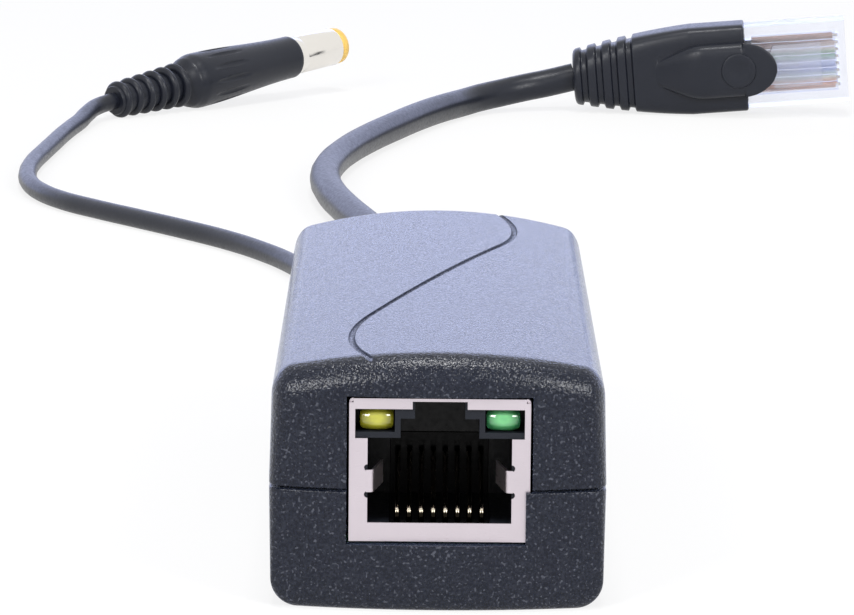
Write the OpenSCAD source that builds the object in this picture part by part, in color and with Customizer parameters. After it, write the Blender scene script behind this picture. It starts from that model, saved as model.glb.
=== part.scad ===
// Inline network-power splitter: a two-shell case with a shielded network socket in its front face,
// a network lead and a barrel-plug power lead out of its rear.
// Millimetres, +Z up, origin at the middle of the underside, socket at -Y, cords at +Y.

/* [Case] */
// Length from front to rear
case_l = 83; // [78:1:92]
// Width at the parting line
case_w = 28.4; // [27.4:0.2:32]
// Height at the crown
case_h = 21.8; // [21:0.2:26]
// Height of the parting line
split_z = 10.2; // [9.6:0.1:10.8]
// Wall thickness of both shells
wall = 1.8; // [1.4:0.1:2]
// Lean of every side from the parting line to the top or the underside
draft = 0.15; // [0:0.05:0.4]
// Radius of the crown across the top
crown_r = 58; // [40:1:90]
// Radius of the bow of the front and rear faces
bow_r = 55; // [45:1:120]
// Radius of the upright corners
corner_r = 1.5; // [1:0.1:2.2]
// Rounding of the long top edges
edge_r = 2; // [1.4:0.1:2.6]
// Rounding of the front and rear top edges
brow_r = 2.7; // [2:0.1:3.4]
// Rounding of the long bottom edges
foot_r = 2.4; // [1.4:0.1:2.6]
// Rounding of the front and rear bottom edges
toe_r = 0.9; // [0.6:0.1:1.6]
// Open line between the two shells on the outside
seam = 0.22; // [0.1:0.02:0.3]
// Depth of the upper shell's tongue in the lower shell
tongue_h = 1; // [0.6:0.1:1.4]
// Side clearance of the tongue
tongue_gap = 0.06; // [0.04:0.01:0.1]

/* [Top groove] */
// Width of the groove
groove_w = 0.6; // [0.4:0.05:1]
// Depth of the groove
groove_depth = 0.35; // [0.2:0.05:0.6]
// Length of its straight middle
groove_l = 41; // [36:0.2:48]
// Turn of the straight middle from the long axis, in degrees
groove_turn = 17; // [12:1:20]
// Radius of its two bends
groove_r = 33; // [26:1:36]
// Distance of its middle behind the middle of the case
groove_y = 0; // [0:0.5:4]

/* [Board] */
// Height of the board's upper face
board_top = 5.9; // [5.4:0.1:6.4]
// Thickness of the board
board_t = 1.6; // [1:0.1:1.6]
// Clearance between the board and the walls
board_gap = 0.4; // [0.3:0.05:0.6]
// Room for the wires between the board and the rear wall
wire_room = 4.6; // [4:0.1:5.4]
// Radius of the posts that hold the board
post_r = 1.1; // [0.8:0.1:1.2]
// Width of the ribs that centre the board and press on the socket
rib_w = 1.2; // [0.8:0.1:1.6]
// Distance of the outermost parts from the board's edge
edge_gap = 0.6; // [0.4:0.1:0.8]
// Length of the network transformer
lan_l = 12.7; // [12:0.1:13.4]
// Width of the network transformer's body
lan_w = 8; // [7.4:0.1:8.4]
// Height of the network transformer's body
lan_h = 5.8; // [4:0.1:6.4]
// Diameter of the electrolytic cans
can_d = 6.3; // [5:0.1:6.6]
// Room between the ceiling and the tall parts
head_room = 1.4; // [0.8:0.1:2]
// Width of the power transformer's core
core_w = 10.6; // [9.6:0.1:11]
// Length of the power transformer
core_l = 10; // [9:0.1:10.6]
// Thickness of the core's back and legs
core_leg = 1.9; // [1.6:0.1:2.1]
// Diameter of the output choke
choke_d = 6.2; // [5:0.1:6.4]
// Height of the output choke
choke_h = 7; // [5:0.1:8]
// Diameter of the safety capacitor's disc
disc_d = 7.2; // [6:0.1:8]
// Thickness of the safety capacitor's disc
disc_t = 2.4; // [2:0.1:2.6]

/* [Socket] */
// Width of the shield
shield_w = 15.2; // [15.1:0.1:15.9]
// Height of the shield
shield_h = 12.2; // [12:0.1:12.6]
// Depth of the shield
shield_l = 21.3; // [20.6:0.1:22]
// Thickness of the shield's sheet
sheet = 0.25; // [0.2:0.01:0.3]
// Place of the socket to the right of the case's middle
jack_x = 0.15; // [0:0.05:0.3]
// Setback of the shield's face from the foremost point of the case
jack_setback = 1; // [0.8:0.05:1.2]
// Clearance round the shield in the case
jack_gap = 0.22; // [0.15:0.01:0.3]
// Width by which the lower shell covers the shield's right edge
cover_w = 0.35; // [0.2:0.05:0.5]
// Width of the plug cavity
port_w = 12.1; // [11.9:0.05:12.3]
// Height of the plug cavity
port_h = 7.2; // [7:0.05:7.4]
// Depth of the plug cavity
port_l = 12.4; // [12:0.1:13]
// Height of the cavity's floor above the board
port_floor = 1.6; // [1.5:0.05:1.7]
// Width of the latch recess
latch_w = 6.6; // [6.2:0.1:6.8]
// Height of the latch recess
latch_h = 1.65; // [1.5:0.05:1.8]
// Width of the latch recess's upper part
neck_w = 4.2; // [3.8:0.1:4.6]
// Width of the notch that the latch passes in the shield
notch_w = 4.6; // [4.2:0.1:4.8]
// Width of an indicator lamp
led_w = 2.8; // [2.4:0.1:2.9]
// Height of an indicator lamp
led_h = 1.85; // [1.6:0.05:1.95]
// Distance of a lamp's middle from the socket's middle
led_x = 5.3; // [5.2:0.05:5.4]
// Radius of a lamp's domed face
dome_r = 2.4; // [2:0.1:5]
// Height of the side springs above the board
finger_z = 4.2; // [3.8:0.1:4.6]
// Width of a side spring
finger_w = 1.9; // [1.6:0.1:2.2]
// Spacing of the contacts
pitch = 1.02; // [1:0.01:1.04]
// Width of a contact
contact_w = 0.4; // [0.36:0.01:0.5]
// Thickness of a contact
contact_t = 0.25; // [0.2:0.01:0.28]
// Inner radius of a contact's fold
contact_bend = 0.75; // [0.5:0.05:0.8]
// Rise of the spring arm, in degrees
contact_rise = 14; // [12:0.5:15]
// Length of the spring arm
arm_l = 11.2; // [10.6:0.1:11.4]

/* [Cords] */
// Diameter of the network cable
net_d = 4; // [3.6:0.1:5]
// Diameter of the power cord
dc_d = 2.4; // [2.2:0.1:3.2]
// Distance of the network cable's exit right of the middle
net_x = 6; // [5.6:0.1:6.4]
// Distance of the power cord's exit left of the middle
dc_x = 7; // [6.6:0.1:7.2]
// Thickness of the moulded sleeve around a cord at the case
sleeve_t = 0.9; // [0.7:0.05:1]
// Distance from the case's middle to the end of the sleeves
exit_y = 48.5; // [47:0.5:50]
// Clearance between a sleeve and the shells
sleeve_gap = 0.08; // [0.04:0.02:0.12]

/* [Plugs] */
// Width of the network plug
plug_w = 11.68; // [11.5:0.02:11.7]
// Height of the network plug's body
plug_h = 6.6; // [6.4:0.1:6.8]
// Length of the network plug
plug_l = 21.5; // [21:0.1:22]
// Length of the boot
boot_l = 25; // [24:0.5:30]
// Length of the network plug that the boot covers
boot_cover = 7; // [6.5:0.5:10]
// Wall of the boot around the plug
boot_wall = 0.5; // [0.4:0.1:1]
// Diameter of the boot at the cable
boot_d = 8; // [7:0.1:8.2]
// Outer diameter of the barrel
barrel_d = 5.5; // [5.4:0.1:5.6]
// Inner diameter of the barrel plug's contact
pin_hole_d = 2.1; // [2:0.1:2.5]
// Length of the bare barrel
barrel_l = 9.5; // [9:0.1:10]
// Length of the power plug's grip
grip_l = 21.5; // [18:0.5:22]
// Largest diameter of the grip
grip_d = 8; // [7.4:0.1:9]
// Length of the power plug's ribbed strain relief
relief_l = 14; // [12:0.5:15]

/* [Hidden] */
$fn = 96;
tiny = 0.01;
through = 1;

// Places that several pieces share
face_y = -case_l / 2 + jack_setback;
jack_top = board_top + shield_h;
inner_w = case_w - 2 * wall;
board_w = inner_w - 2 * board_gap;
board_front = -case_l / 2 + wall + drop(bow_r - wall, board_w / 2) + 0.3;
board_rear = case_l / 2 - wall - wire_room;
post_x = board_w / 2 - post_r - 0.2;
post_front = board_front + post_r + 1;
post_rear = board_rear - post_r - 0.3;
posts = [for (side = [-1, 1], y = [post_front, post_rear]) [side * post_x, y]];
pad_y = board_rear - 1.6;

// Rows of parts on the board, evenly spaced from the socket's rear to the wires' pads
row_ls = [lan_l, can_d, core_l, can_d];
row_front = face_y + shield_l;
row_gap = (pad_y - 2.6 - row_front - row_ls[0] - row_ls[1] - row_ls[2] - row_ls[3]) / 5;
row_y = [for (i = 0, y = row_front; i < 4; y = y + row_ls[i] + row_gap, i = i + 1)
    y + row_gap + row_ls[i] / 2];
part_x = board_w / 2 - edge_gap;
tall = ceiling(part_x) - board_top - head_room;
flange_y = case_l / 2 - wall - drop(bow_r - wall, dc_x + dc_d / 2 + 1.8) - 0.15;
flange_t = 1.6;
rim_steps = 5;

// Places of the eight contacts across the socket and the plug
contact_xs = [for (i = [0 : 7]) (i - 3.5) * pitch];

// Network cable: straight out of its sleeve, down to the floor, round to its boot
net_r = net_d / 2;
net_route = [
    [net_x, exit_y, split_z], [6, 56, 10.1], [6, 66, 8.8], [5.5, 77, 6.4], [4.5, 88, 4],
    [3, 99, 2.4], [1.2, 110, net_r], [-1, 121, net_r], [-3.3, 132, net_r], [-5.8, 143, net_r],
    [-8.4, 155, net_r], [-11, 168, net_r], [-13.1, 181, net_r], [-14.1, 194, net_r],
    [-13.6, 206, net_r], [-11.8, 218.5, net_r], [-9, 231, net_r], [-5.6, 243, net_r],
    [-1.5, 256, net_r], [1.4, 263.4, net_r], [4.2, 269.3, net_r], [6.6, 272.4, 2.3],
    [9.6, 274.8, 2.7], [13, 276.3, 3.3], [16.7, 277, 4], [20.4, 277.1, 4.9]
];
boot_at = net_route[len(net_route) - 1];
boot_heading = -4;
boot_tilt = 5;
boot_roll = 90;

// Power cord: straight out of its sleeve, down to the floor, out to the left and back to its plug
dc_r = dc_d / 2;
dc_route = [
    [-dc_x, exit_y, split_z], [-7, 55, 10], [-7.1, 63, 8.4], [-7.4, 71, 6], [-7.9, 79, 3.6],
    [-8.6, 87, 1.9], [-9.6, 95, dc_r], [-10.8, 104, dc_r], [-12.4, 113, dc_r], [-14.4, 122, dc_r],
    [-17, 131, dc_r], [-20.6, 139.5, dc_r], [-25, 147.5, dc_r], [-30.5, 155.5, dc_r],
    [-36.5, 163.5, dc_r], [-42.2, 171, dc_r], [-46.8, 177.7, dc_r], [-50.2, 185, dc_r],
    [-52.3, 193, dc_r], [-53.2, 202, dc_r], [-53.2, 211, dc_r], [-52.6, 220, dc_r],
    [-51.9, 229, dc_r], [-51.2, 238, dc_r], [-50.5, 245, dc_r], [-49.7, 251, 1.3],
    [-49, 256, 1.7], [-47.9, 260.7, 2.1], [-45.8, 264, 2.5]
];
dc_plug_at = dc_route[len(dc_route) - 1];
dc_heading = 46;
dc_tilt = 5.5;

// Fall of an arc of radius r at the distance x from its middle
function drop(r, x) = r - sqrt(r * r - x * x);

// Height of the crowned ceiling at the distance x from the middle
function ceiling(x) = case_h - crown_r + sqrt(pow(crown_r - wall, 2) - x * x);

function unit(v) = v / norm(v);

// Direction of a plug from its tilt above the floor and its heading from +X
function axis_of(tilt, heading) =
    [cos(tilt) * cos(heading), cos(tilt) * sin(heading), sin(tilt)];

// Direction of a route at one of its points
function heading(route, i) =
    unit(route[min(i + 1, len(route) - 1)] - route[max(i - 1, 0)]);

// Ring of points square to a direction
function ring(at, along, r, sides) =
    let (across = unit(cross(along, [0, 0, 1])), up = cross(across, along))
    [for (k = [0 : sides - 1]) at + r * (cos(360 * k / sides) * across + sin(360 * k / sides) * up)];

// Block centred in plan that stands on z = 0
module block(w, l, h) {
    translate([-w / 2, -l / 2, 0])
        cube([w, l, h]);
}

// Ball with its poles on its bounding box, stretched to three radii
module ball(rx, ry, rz) {
    scale([rx, ry, rz])
        rotate_extrude($fn = 32)
            polygon([for (a = [-90 : 11.25 : 90]) [cos(a), sin(a)]]);
}

// Closed tube along a route, cut square to the piece that it meets at each end
module tube(route, r, sides, first_axis, last_axis) {
    n = len(route);
    axes = [for (i = [0 : n - 1]) i == 0 ? first_axis : i == n - 1 ? last_axis : heading(route, i)];
    points = [for (i = [0 : n - 1]) each ring(route[i], axes[i], r, sides)];
    walls = [
        for (i = [0 : n - 2], k = [0 : sides - 1])
            let (a = i * sides + k, b = i * sides + (k + 1) % sides)
            [a, b, b + sides, a + sides]
    ];
    first = [for (k = [0 : sides - 1]) k];
    last = [for (k = [sides - 1 : -1 : 0]) (n - 1) * sides + k];
    polyhedron(points, concat([for (w = walls) [w[3], w[2], w[1], w[0]]], [first, last]));
}

// Plan of the case at the parting line, set in by the given amount
module case_plan(inset) {
    intersection() {
        square([case_w - 2 * inset, case_l - 2 * inset], center = true);
        translate([0, bow_r - case_l / 2])
            circle(bow_r - inset, $fn = 240);
        translate([0, case_l / 2 - bow_r])
            circle(bow_r - inset, $fn = 240);
    }
}

// Space under the crowned top, set in by the given amount
module under_crown(inset) {
    translate([0, 0, case_h - crown_r])
        rotate([90, 0, 0])
            cylinder(r = crown_r - inset, h = case_l + 4, center = true, $fn = 240);
}

// Upright places along the bowed ends, for rounded pieces of plan radii rx and ry
module along_ends(rx, ry, lean) {
    reach = case_w / 2 - lean - rx;
    for (end = [-1, 1], i = [-rim_steps : rim_steps]) {
        x = i / rim_steps * reach;
        translate([x, end * (case_l / 2 - lean - drop(bow_r - ry, x) - ry), 0])
            children();
    }
}

// Outer form of the upper half: bowed ends, leaning sides, crowned and rounded top
module upper_form() {
    reach = case_w / 2 - draft - edge_r;
    hull() {
        translate([0, 0, split_z + seam])
            along_ends(corner_r, corner_r, 0)
                cylinder(r = corner_r, h = tiny, $fn = 32);
        for (end = [-1, 1], i = [-rim_steps : rim_steps]) {
            x = i / rim_steps * reach;
            y = case_l / 2 - draft - drop(bow_r - brow_r, x) - brow_r;
            translate([x, end * y, case_h - drop(crown_r - brow_r, x) - brow_r])
                ball(edge_r, brow_r, brow_r);
        }
    }
}

// Outer form of the lower half
module lower_form() {
    hull() {
        translate([0, 0, split_z - tiny])
            along_ends(corner_r, corner_r, 0)
                cylinder(r = corner_r, h = tiny, $fn = 32);
        translate([0, 0, foot_r])
            along_ends(foot_r, toe_r, draft)
                ball(foot_r, toe_r, foot_r);
    }
}

// Half of the S that runs from its middle to one end
module half_groove_plan() {
    translate([-groove_w / 2, -groove_l / 2])
        square([groove_w, groove_l / 2 + tiny]);
    translate([groove_r, -groove_l / 2])
        intersection() {
            difference() {
                circle(groove_r + groove_w / 2, $fn = 240);
                circle(groove_r - groove_w / 2, $fn = 240);
            }
            polygon([[0, 0], [-2 * groove_r, 0], [-2 * groove_r, -2.4 * groove_r]]);
        }
}

// Cutter for the S-shaped groove, as deep along the crown as at its middle
module groove_cut() {
    difference() {
        translate([0, groove_y, case_h - 8])
            rotate(-groove_turn)
                linear_extrude(10)
                    for (turn = [0, 180])
                        rotate(turn)
                            half_groove_plan();
        under_crown(groove_depth);
    }
}

// Opening for the shield, between two heights and two sides
module jack_cut(left, right, z0, z1) {
    translate([jack_x + left, -case_l / 2 - through, z0])
        cube([right - left, jack_setback + wall + 3, z1 - z0]);
}

// Holes for both cord sleeves
module sleeve_holes() {
    for (hole = [[net_x, net_d], [-dc_x, dc_d]])
        translate([hole[0], case_l / 2 - wall - 3, split_z])
            rotate([-90, 0, 0])
                cylinder(d = hole[1] + 2 * sleeve_t + 2 * sleeve_gap, h = wall + 4);
}

module top_shell() {
    color("darkslategray")
    union() {
        difference() {
            union() {
                upper_form();
                translate([0, 0, split_z - tongue_h])
                    linear_extrude(tongue_h + seam + wall)
                        case_plan(wall / 2 + tongue_gap);
            }
            intersection() {
                translate([0, 0, split_z - tongue_h - through])
                    linear_extrude(case_h)
                        case_plan(wall);
                under_crown(wall);
            }
            jack_cut(-shield_w / 2 - jack_gap, shield_w / 2 + jack_gap, 0, jack_top + jack_gap);
            sleeve_holes();
            groove_cut();
        }
        intersection() {
            union() {
                translate([0, post_rear, board_top])
                    cylinder(r1 = post_r, r2 = post_r + 0.3, h = case_h);
                for (x = [-shield_w / 4, shield_w / 4])
                    translate([jack_x + x, face_y + shield_l * 0.55, jack_top])
                        block(rib_w, shield_l * 0.6, case_h);
            }
            under_crown(wall - 0.4);
        }
    }
}

module bottom_shell() {
    wide = shield_w / 2 + jack_gap;
    color("darkslategray")
    union() {
        difference() {
            lower_form();
            translate([0, 0, wall])
                linear_extrude(case_h)
                    case_plan(wall);
            translate([0, 0, split_z - tongue_h])
                linear_extrude(case_h)
                    case_plan(wall / 2);
            jack_cut(-wide, shield_w / 2 - cover_w, board_top - jack_gap, case_h);
            translate([jack_x - wide, face_y - 0.1, board_top - jack_gap])
                cube([2 * wide, wall + 3, case_h]);
            sleeve_holes();
        }
        for (p = posts)
            translate([p[0], p[1], wall - 0.4])
                cylinder(r1 = post_r + 0.3, r2 = post_r, h = board_top - board_t - wall + 0.4);
        for (side = [-1, 1], y = [-case_l / 4, 0, case_l / 4])
            translate([side * (inner_w / 2 - board_gap / 2 + 0.15), y, wall - 0.4])
                block(board_gap - 0.1 + 0.3, rib_w, board_top - wall + 0.4);
    }
}

// Window of the shield: plug cavity, lamps beside the latch, notch, and rounded reliefs at the springs
module shield_window() {
    relief_r = 0.28;
    translate([-port_w / 2, port_floor])
        square([port_w, port_h + 0.1]);
    translate([-led_x - led_w / 2 - 0.4, port_floor + port_h])
        square([2 * led_x + led_w + 0.8, led_h + 0.65]);
    translate([-notch_w / 2, port_floor + port_h])
        square([notch_w, shield_h - port_floor - port_h - 0.25]);
    for (side = [-1, 1], z = [finger_z - 0.2, finger_z + finger_w + 0.2])
        translate([side * port_w / 2, z])
            circle(relief_r, $fn = 32);
}

// Side spring: folds back from the face's edge and leans in towards a plug
module shield_finger() {
    bend = 0.3;
    lean = 10;
    fold_x = 0.05 - port_w / 2;
    translate([0, 0, finger_z])
        linear_extrude(finger_w) {
            translate([-port_w / 2 - 0.1, 0])
                square([0.1 + 0.05, sheet]);
            translate([fold_x, sheet + bend]) {
                intersection() {
                    difference() {
                        circle(bend + sheet, $fn = 48);
                        circle(bend, $fn = 48);
                    }
                    polygon([[0, 0], [0, -2], [2, -2], [2, -2 * tan(lean)]]);
                }
                rotate(-lean)
                    translate([bend, 0])
                        square([sheet, 4]);
            }
        }
}

// Folded sheet shield: face with its window, top, sides and rear, a lip under the front, solder legs
module jack_shield() {
    color("gainsboro")
    translate([jack_x, face_y, board_top])
    union() {
        difference() {
            translate([0, shield_l, 0])
                rotate([90, 0, 0])
                    linear_extrude(shield_l)
                        folded_section(shield_w, shield_h, sheet + 0.1);
            translate([0, shield_l - sheet, -tiny])
                rotate([90, 0, 0])
                    linear_extrude(shield_l - 2 * sheet)
                        folded_section(shield_w - 2 * sheet, shield_h - sheet + tiny, 0.1);
            translate([0, sheet + through, 0])
                rotate([90, 0, 0])
                    linear_extrude(sheet + 2 * through)
                        shield_window();
            for (side = [-1, 1]) {
                translate([side * shield_w / 2, shield_l * 0.62, shield_h * 0.5])
                    block(2, 3.2, 2.2);
                translate([side * shield_w / 2, 0, shield_h - 0.35])
                    block(0.7, 2 * sheet, 1);
            }
        }
        translate([0, sheet, 0])
            difference() {
                translate([0, 1.6, 0])
                    block(shield_w - 2 * sheet, 3.2, sheet);
                translate([0, 1.6, -tiny])
                    block(port_w - 3, 4, 2 * sheet);
            }
        for (side = [0, 1])
            mirror([side, 0, 0])
                shield_finger();
    }
}

// Section of a folded sheet box: square below, rounded folds above
module folded_section(w, h, r) {
    translate([-w / 2, 0])
        square([w, h - r]);
    translate([-w / 2 + r, 0])
        square([w - 2 * r, h]);
    for (side = [-1, 1])
        translate([side * (w / 2 - r), h - r])
            circle(r, $fn = 48);
}

carrier_w = 8.4;
carrier_gap = 0.04;

// Moulded body of the socket: plug cavity, stepped latch recess, lamp channels, slot for the carrier
module jack_housing() {
    fit = 0.03;
    front = sheet + 0.05;
    body_l = shield_l - 2 * sheet - 0.1;
    color("dimgray")
    translate([jack_x, face_y, board_top])
    difference() {
        translate([0, front + body_l, 0])
            rotate([90, 0, 0])
                linear_extrude(body_l)
                    difference() {
                        folded_section(shield_w - 2 * sheet - 2 * fit, shield_h - sheet - fit, 0.25);
                        for (side = [-1, 1])
                            translate([side * led_x - led_w / 2 - 0.12, port_floor + port_h + 0.5])
                                square([led_w + 0.24, led_h + 0.2]);
                    }
        translate([-port_w / 2, 0, port_floor])
            cube([port_w, port_l, port_h]);
        translate([-latch_w / 2, 0, port_floor + port_h - tiny])
            cube([latch_w, port_l, latch_h]);
        translate([-neck_w / 2, 0, port_floor + port_h + latch_h - 2 * tiny])
            cube([neck_w, port_l - 4, shield_h]);
        translate([0, shield_l / 2, -through])
            block(carrier_w + 2 * carrier_gap, 2 * shield_l, port_floor + through);
        translate([0, port_l + shield_l / 2, -through])
            block(carrier_w + 2 * carrier_gap, shield_l, port_floor + 5.4 + through);
        translate([0, front, -through])
            block(shield_w, 7, sheet + 0.05 + through);
        for (side = [-1, 1])
            translate([side * (led_x + led_w / 2 + 0.2), front, port_floor + port_h + 0.5])
                block(0.4, 8, led_h + 0.2);
    }
}

// Places of a contact's fold and of its arm's tip, behind the face and above the board
run_z = 0.85;
contact_fold = [2.3, run_z + contact_t + contact_bend];
arm_tip = contact_fold + arm_l * [cos(contact_rise), sin(contact_rise)]
    + contact_bend * [-sin(contact_rise), cos(contact_rise)];

// Insert that holds the contacts: grooved floor with a front comb, and a rear block with a rear comb
module contact_carrier() {
    front = sheet + 0.1;
    rear = shield_l - sheet - 0.1;
    slot_w = contact_w + 0.12;
    color("black")
    translate([jack_x, face_y, board_top])
    difference() {
        union() {
            translate([-carrier_w / 2, front + 0.55, 0])
                cube([carrier_w, rear - front - 0.55, port_floor]);
            translate([-carrier_w / 2, port_l + 0.06, 0])
                cube([carrier_w, rear - port_l - 0.06, port_floor + 5.3]);
        }
        for (x = contact_xs) {
            translate([x, 0, -through])
                block(slot_w, 2 * rear - 2.4, port_floor - 0.35 + through);
            translate([x, 0, 0])
                block(slot_w, 2 * (contact_fold[0] + 3.4), port_floor + through);
            translate([x, port_l, arm_tip[1] - 1.8])
                block(slot_w, 2 * (arm_tip[0] - port_l) + 0.8, 2.7);
        }
    }
}

// One bent contact, seen from the side: tail, run along the floor, fold at the front, sloping arm
module contact_side(tail_y) {
    bend = contact_bend;
    translate([contact_fold[0], run_z])
        square([tail_y - contact_fold[0], contact_t]);
    translate([tail_y - contact_t, 0])
        square([contact_t, run_z + contact_t]);
    translate(contact_fold) {
        intersection() {
            difference() {
                circle(bend + contact_t, $fn = 48);
                circle(bend, $fn = 48);
            }
            polygon([[0, 0], [0, -3], [-3, -3], [-3, 3], [-3 * sin(contact_rise), 3 * cos(contact_rise)]]);
        }
        rotate(contact_rise)
            translate([0, bend])
                square([arm_l, contact_t]);
    }
}

module jack_contacts() {
    color("gold")
    translate([jack_x, face_y, board_top])
        for (i = [0 : 7])
            translate([contact_xs[i] - contact_w / 2, 0, 0])
                rotate([90, 0, 90])
                    linear_extrude(contact_w)
                        contact_side(shield_l - (i % 2 == 0 ? 4.3 : 1.9));
}

// Lamp: square light guide with a domed face, as long as the socket
module led(side) {
    face = sheet + 0.1;
    l = shield_l - 3.3;
    translate([jack_x + side * led_x, face_y + face, board_top + port_floor + port_h + 0.6])
        intersection() {
            translate([-led_w / 2, 0, 0])
                cube([led_w, l, led_h]);
            union() {
                translate([0, dome_r, led_h / 2])
                    sphere(dome_r, $fn = 96);
                translate([-led_w / 2, dome_r, 0])
                    cube([led_w, l, led_h]);
            }
        }
}

module yellow_led() {
    color("gold")
        led(-1);
}

module green_led() {
    color("limegreen")
        led(1);
}

module circuit_board() {
    color("darkgreen")
    translate([-board_w / 2, board_front, board_top - board_t])
        cube([board_w, board_rear - board_front, board_t]);
}

// Gull-wing leg, foot at the origin and pointing along +X, reaching back to the body
module leg(w, h) {
    translate([0, w / 2, 0])
        rotate([90, 0, 0])
            linear_extrude(w)
                polygon([[0, 0], [0.6, 0], [0.6, 0.2], [0.15, 0.2], [0.15, h + 0.2],
                    [-0.6, h + 0.2], [-0.6, h], [-0.05, h]]);
}

// Moulded chip: chamfered body with rows of legs at both ends of X
module chip(w, l, h, legs, pitch_y, lift = 0.1) {
    leg_h = h * 0.45;
    translate([0, 0, lift])
        difference() {
            block(w, l, h);
            translate([-w / 2 - 0.01, -l / 2 - 0.01, h])
                rotate([0, 45, 0])
                    translate([-0.3, 0, -0.3])
                        cube([0.6, l + 0.02, 0.6]);
            translate([-w / 2 + 0.9, l / 2 - 0.9, h - 0.12])
                cylinder(r = 0.35, h = 1, $fn = 24);
        }
    for (turn = [0, 180], i = [0 : legs - 1])
        rotate(turn)
            translate([w / 2 + 0.5, (i - (legs - 1) / 2) * pitch_y, 0])
                leg(min(0.45, pitch_y / 2), leg_h + lift);
}

module on_board(x, y, turn = 0) {
    translate([x, y, board_top])
        rotate(turn)
            children();
}

module lan_transformer() {
    color("black")
    on_board(lan_w / 2 + 1.1 - part_x, row_y[0])
        chip(lan_w, lan_l, lan_h, 8, 1.27);
}

module bridge_rectifiers() {
    color("black")
    for (side = [-1, 1])
        on_board(part_x - 3.3, row_y[0] + side * 2.6)
            chip(4.4, 3.9, 2.5, 2, 2.5);
}

module poe_controller() {
    color("black")
    on_board((can_d - disc_t) / 2, row_y[1])
        chip(3.9, 4.9, 1.5, 4, 1.27);
}

// Can with a rolled groove, a crimped rim and two leads down to the board
module can_capacitor(x, y) {
    lift = 0.5;
    h = tall - lift;
    color("midnightblue")
    on_board(x, y) {
        rotate_extrude()
            difference() {
                translate([0, lift])
                    square([can_d / 2, h]);
                translate([can_d / 2 + 0.25, lift + 1.6])
                    circle(0.6, $fn = 48);
                translate([-tiny, lift + h - 0.25])
                    square([can_d / 2 - 0.8, 1]);
            }
        for (side = [-1, 1])
            translate([side * 1.25, 0, 0])
                cylinder(d = 0.6, h = lift + tiny, $fn = 24);
    }
}

module input_capacitor() {
    can_capacitor(can_d / 2 - part_x, row_y[1]);
}

module output_capacitor() {
    can_capacitor(can_d / 2 - part_x, row_y[3]);
}

module mosfet() {
    color("black")
    on_board(part_x - 2.45, row_y[3], 90)
        chip(3.9, 4.9, 1.5, 4, 1.27);
}

// Dipped disc with two leads
module safety_capacitor() {
    lead = 1.4;
    color("steelblue")
    on_board(part_x - disc_t / 2, row_y[1]) {
        translate([0, 0, lead + disc_d / 2])
            rotate([0, 90, 0])
                rotate_extrude() {
                    translate([0, -disc_t / 2])
                        square([disc_d / 2 - disc_t / 2, disc_t]);
                    translate([disc_d / 2 - disc_t / 2, 0])
                        circle(disc_t / 2, $fn = 48);
                }
        for (side = [-1, 1])
            translate([0, side * disc_d / 3, 0])
                cylinder(d = 0.6, h = lead + disc_d / 4, $fn = 24);
    }
}

core_lift = 1;
core_h = tall - core_lift;
core_x = core_w / 2 - part_x;
core_y = row_y[2];
spool_gap = 0.05;
leg_r = 1.8;
spool_r = leg_r + 0.7;
flange_r = core_w / 2 - core_leg - spool_gap;
spool_h = core_h - 2 * core_leg - 2 * spool_gap;

// Two E-shaped halves of ferrite that meet inside the winding
module power_transformer_core() {
    color("dimgray")
    on_board(core_x, core_y)
    translate([0, 0, core_lift]) {
        difference() {
            block(core_w, core_l / 2, core_h);
            translate([0, 0, core_leg])
                block(core_w - 2 * core_leg, core_l, core_h - 2 * core_leg);
        }
        cylinder(r = leg_r, h = core_h);
    }
}

// Spool with two round flanges, and a foot with pins at each end
module power_transformer_bobbin() {
    color("saddlebrown")
    on_board(core_x, core_y) {
        difference() {
            translate([0, 0, core_lift + core_leg + spool_gap]) {
                cylinder(r = spool_r, h = spool_h);
                for (z = [0, spool_h - 0.5])
                    translate([0, 0, z])
                        cylinder(r = flange_r, h = 0.5);
            }
            cylinder(r = leg_r + spool_gap, h = 2 * core_h);
        }
        for (end = [-1, 1]) {
            translate([0, end * (core_l / 2 - 1.1), core_lift - 0.5])
                block(core_w, 2, 1.2);
            translate([0, end * (core_l / 2 - 1.7), core_lift])
                block(core_w / 2, 0.8, core_leg + spool_gap + 0.3);
            for (x = [-core_w / 3, 0, core_w / 3])
                translate([x, end * (core_l / 2 - 1.1), 0])
                    cylinder(d = 0.7, h = core_lift, $fn = 24);
        }
    }
}

module power_transformer_winding() {
    color("goldenrod")
    on_board(core_x, core_y)
    translate([0, 0, core_lift + core_leg + 0.5 + 2 * spool_gap])
        difference() {
            cylinder(r = flange_r - 0.1, h = spool_h - 1 - 2 * spool_gap);
            translate([0, 0, -1])
                cylinder(r = spool_r + spool_gap, h = core_h);
        }
}

module optocoupler() {
    color("white")
    on_board(part_x - 3.4, row_y[2] - 2.6)
        chip(4.6, 4, 3.2, 2, 2.54);
}

module schottky_diode() {
    color("black")
    on_board(part_x - 3.4, row_y[2] + 2.4)
        chip(4.6, 3.6, 2.2, 1, 1.8);
}

choke_x = (can_d - 4.9) / 2;
choke_y = row_y[3];
waist_r = choke_d / 2 - 1.9;

// Ferrite drum with a flange at each end
module output_choke() {
    color("dimgray")
    on_board(choke_x, choke_y)
        rotate_extrude()
            polygon([[0, 0], [choke_d / 2, 0], [choke_d / 2, 1.2], [waist_r, 1.2],
                [waist_r, choke_h - 1.2], [choke_d / 2, choke_h - 1.2],
                [choke_d / 2, choke_h], [0, choke_h]]);
}

// Copper wire round the drum's waist, with the turns showing outside
module choke_winding() {
    turns = 7;
    h = choke_h - 2.5;
    color("peru")
    on_board(choke_x, choke_y)
        translate([0, 0, 1.25])
            rotate_extrude()
                difference() {
                    translate([waist_r + 0.05, 0])
                        square([1.5, h]);
                    for (i = [0 : turns - 1])
                        translate([waist_r + 1.65, (i + 0.5) * h / turns])
                            circle(0.24, $fn = 24);
                }
}

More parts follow.
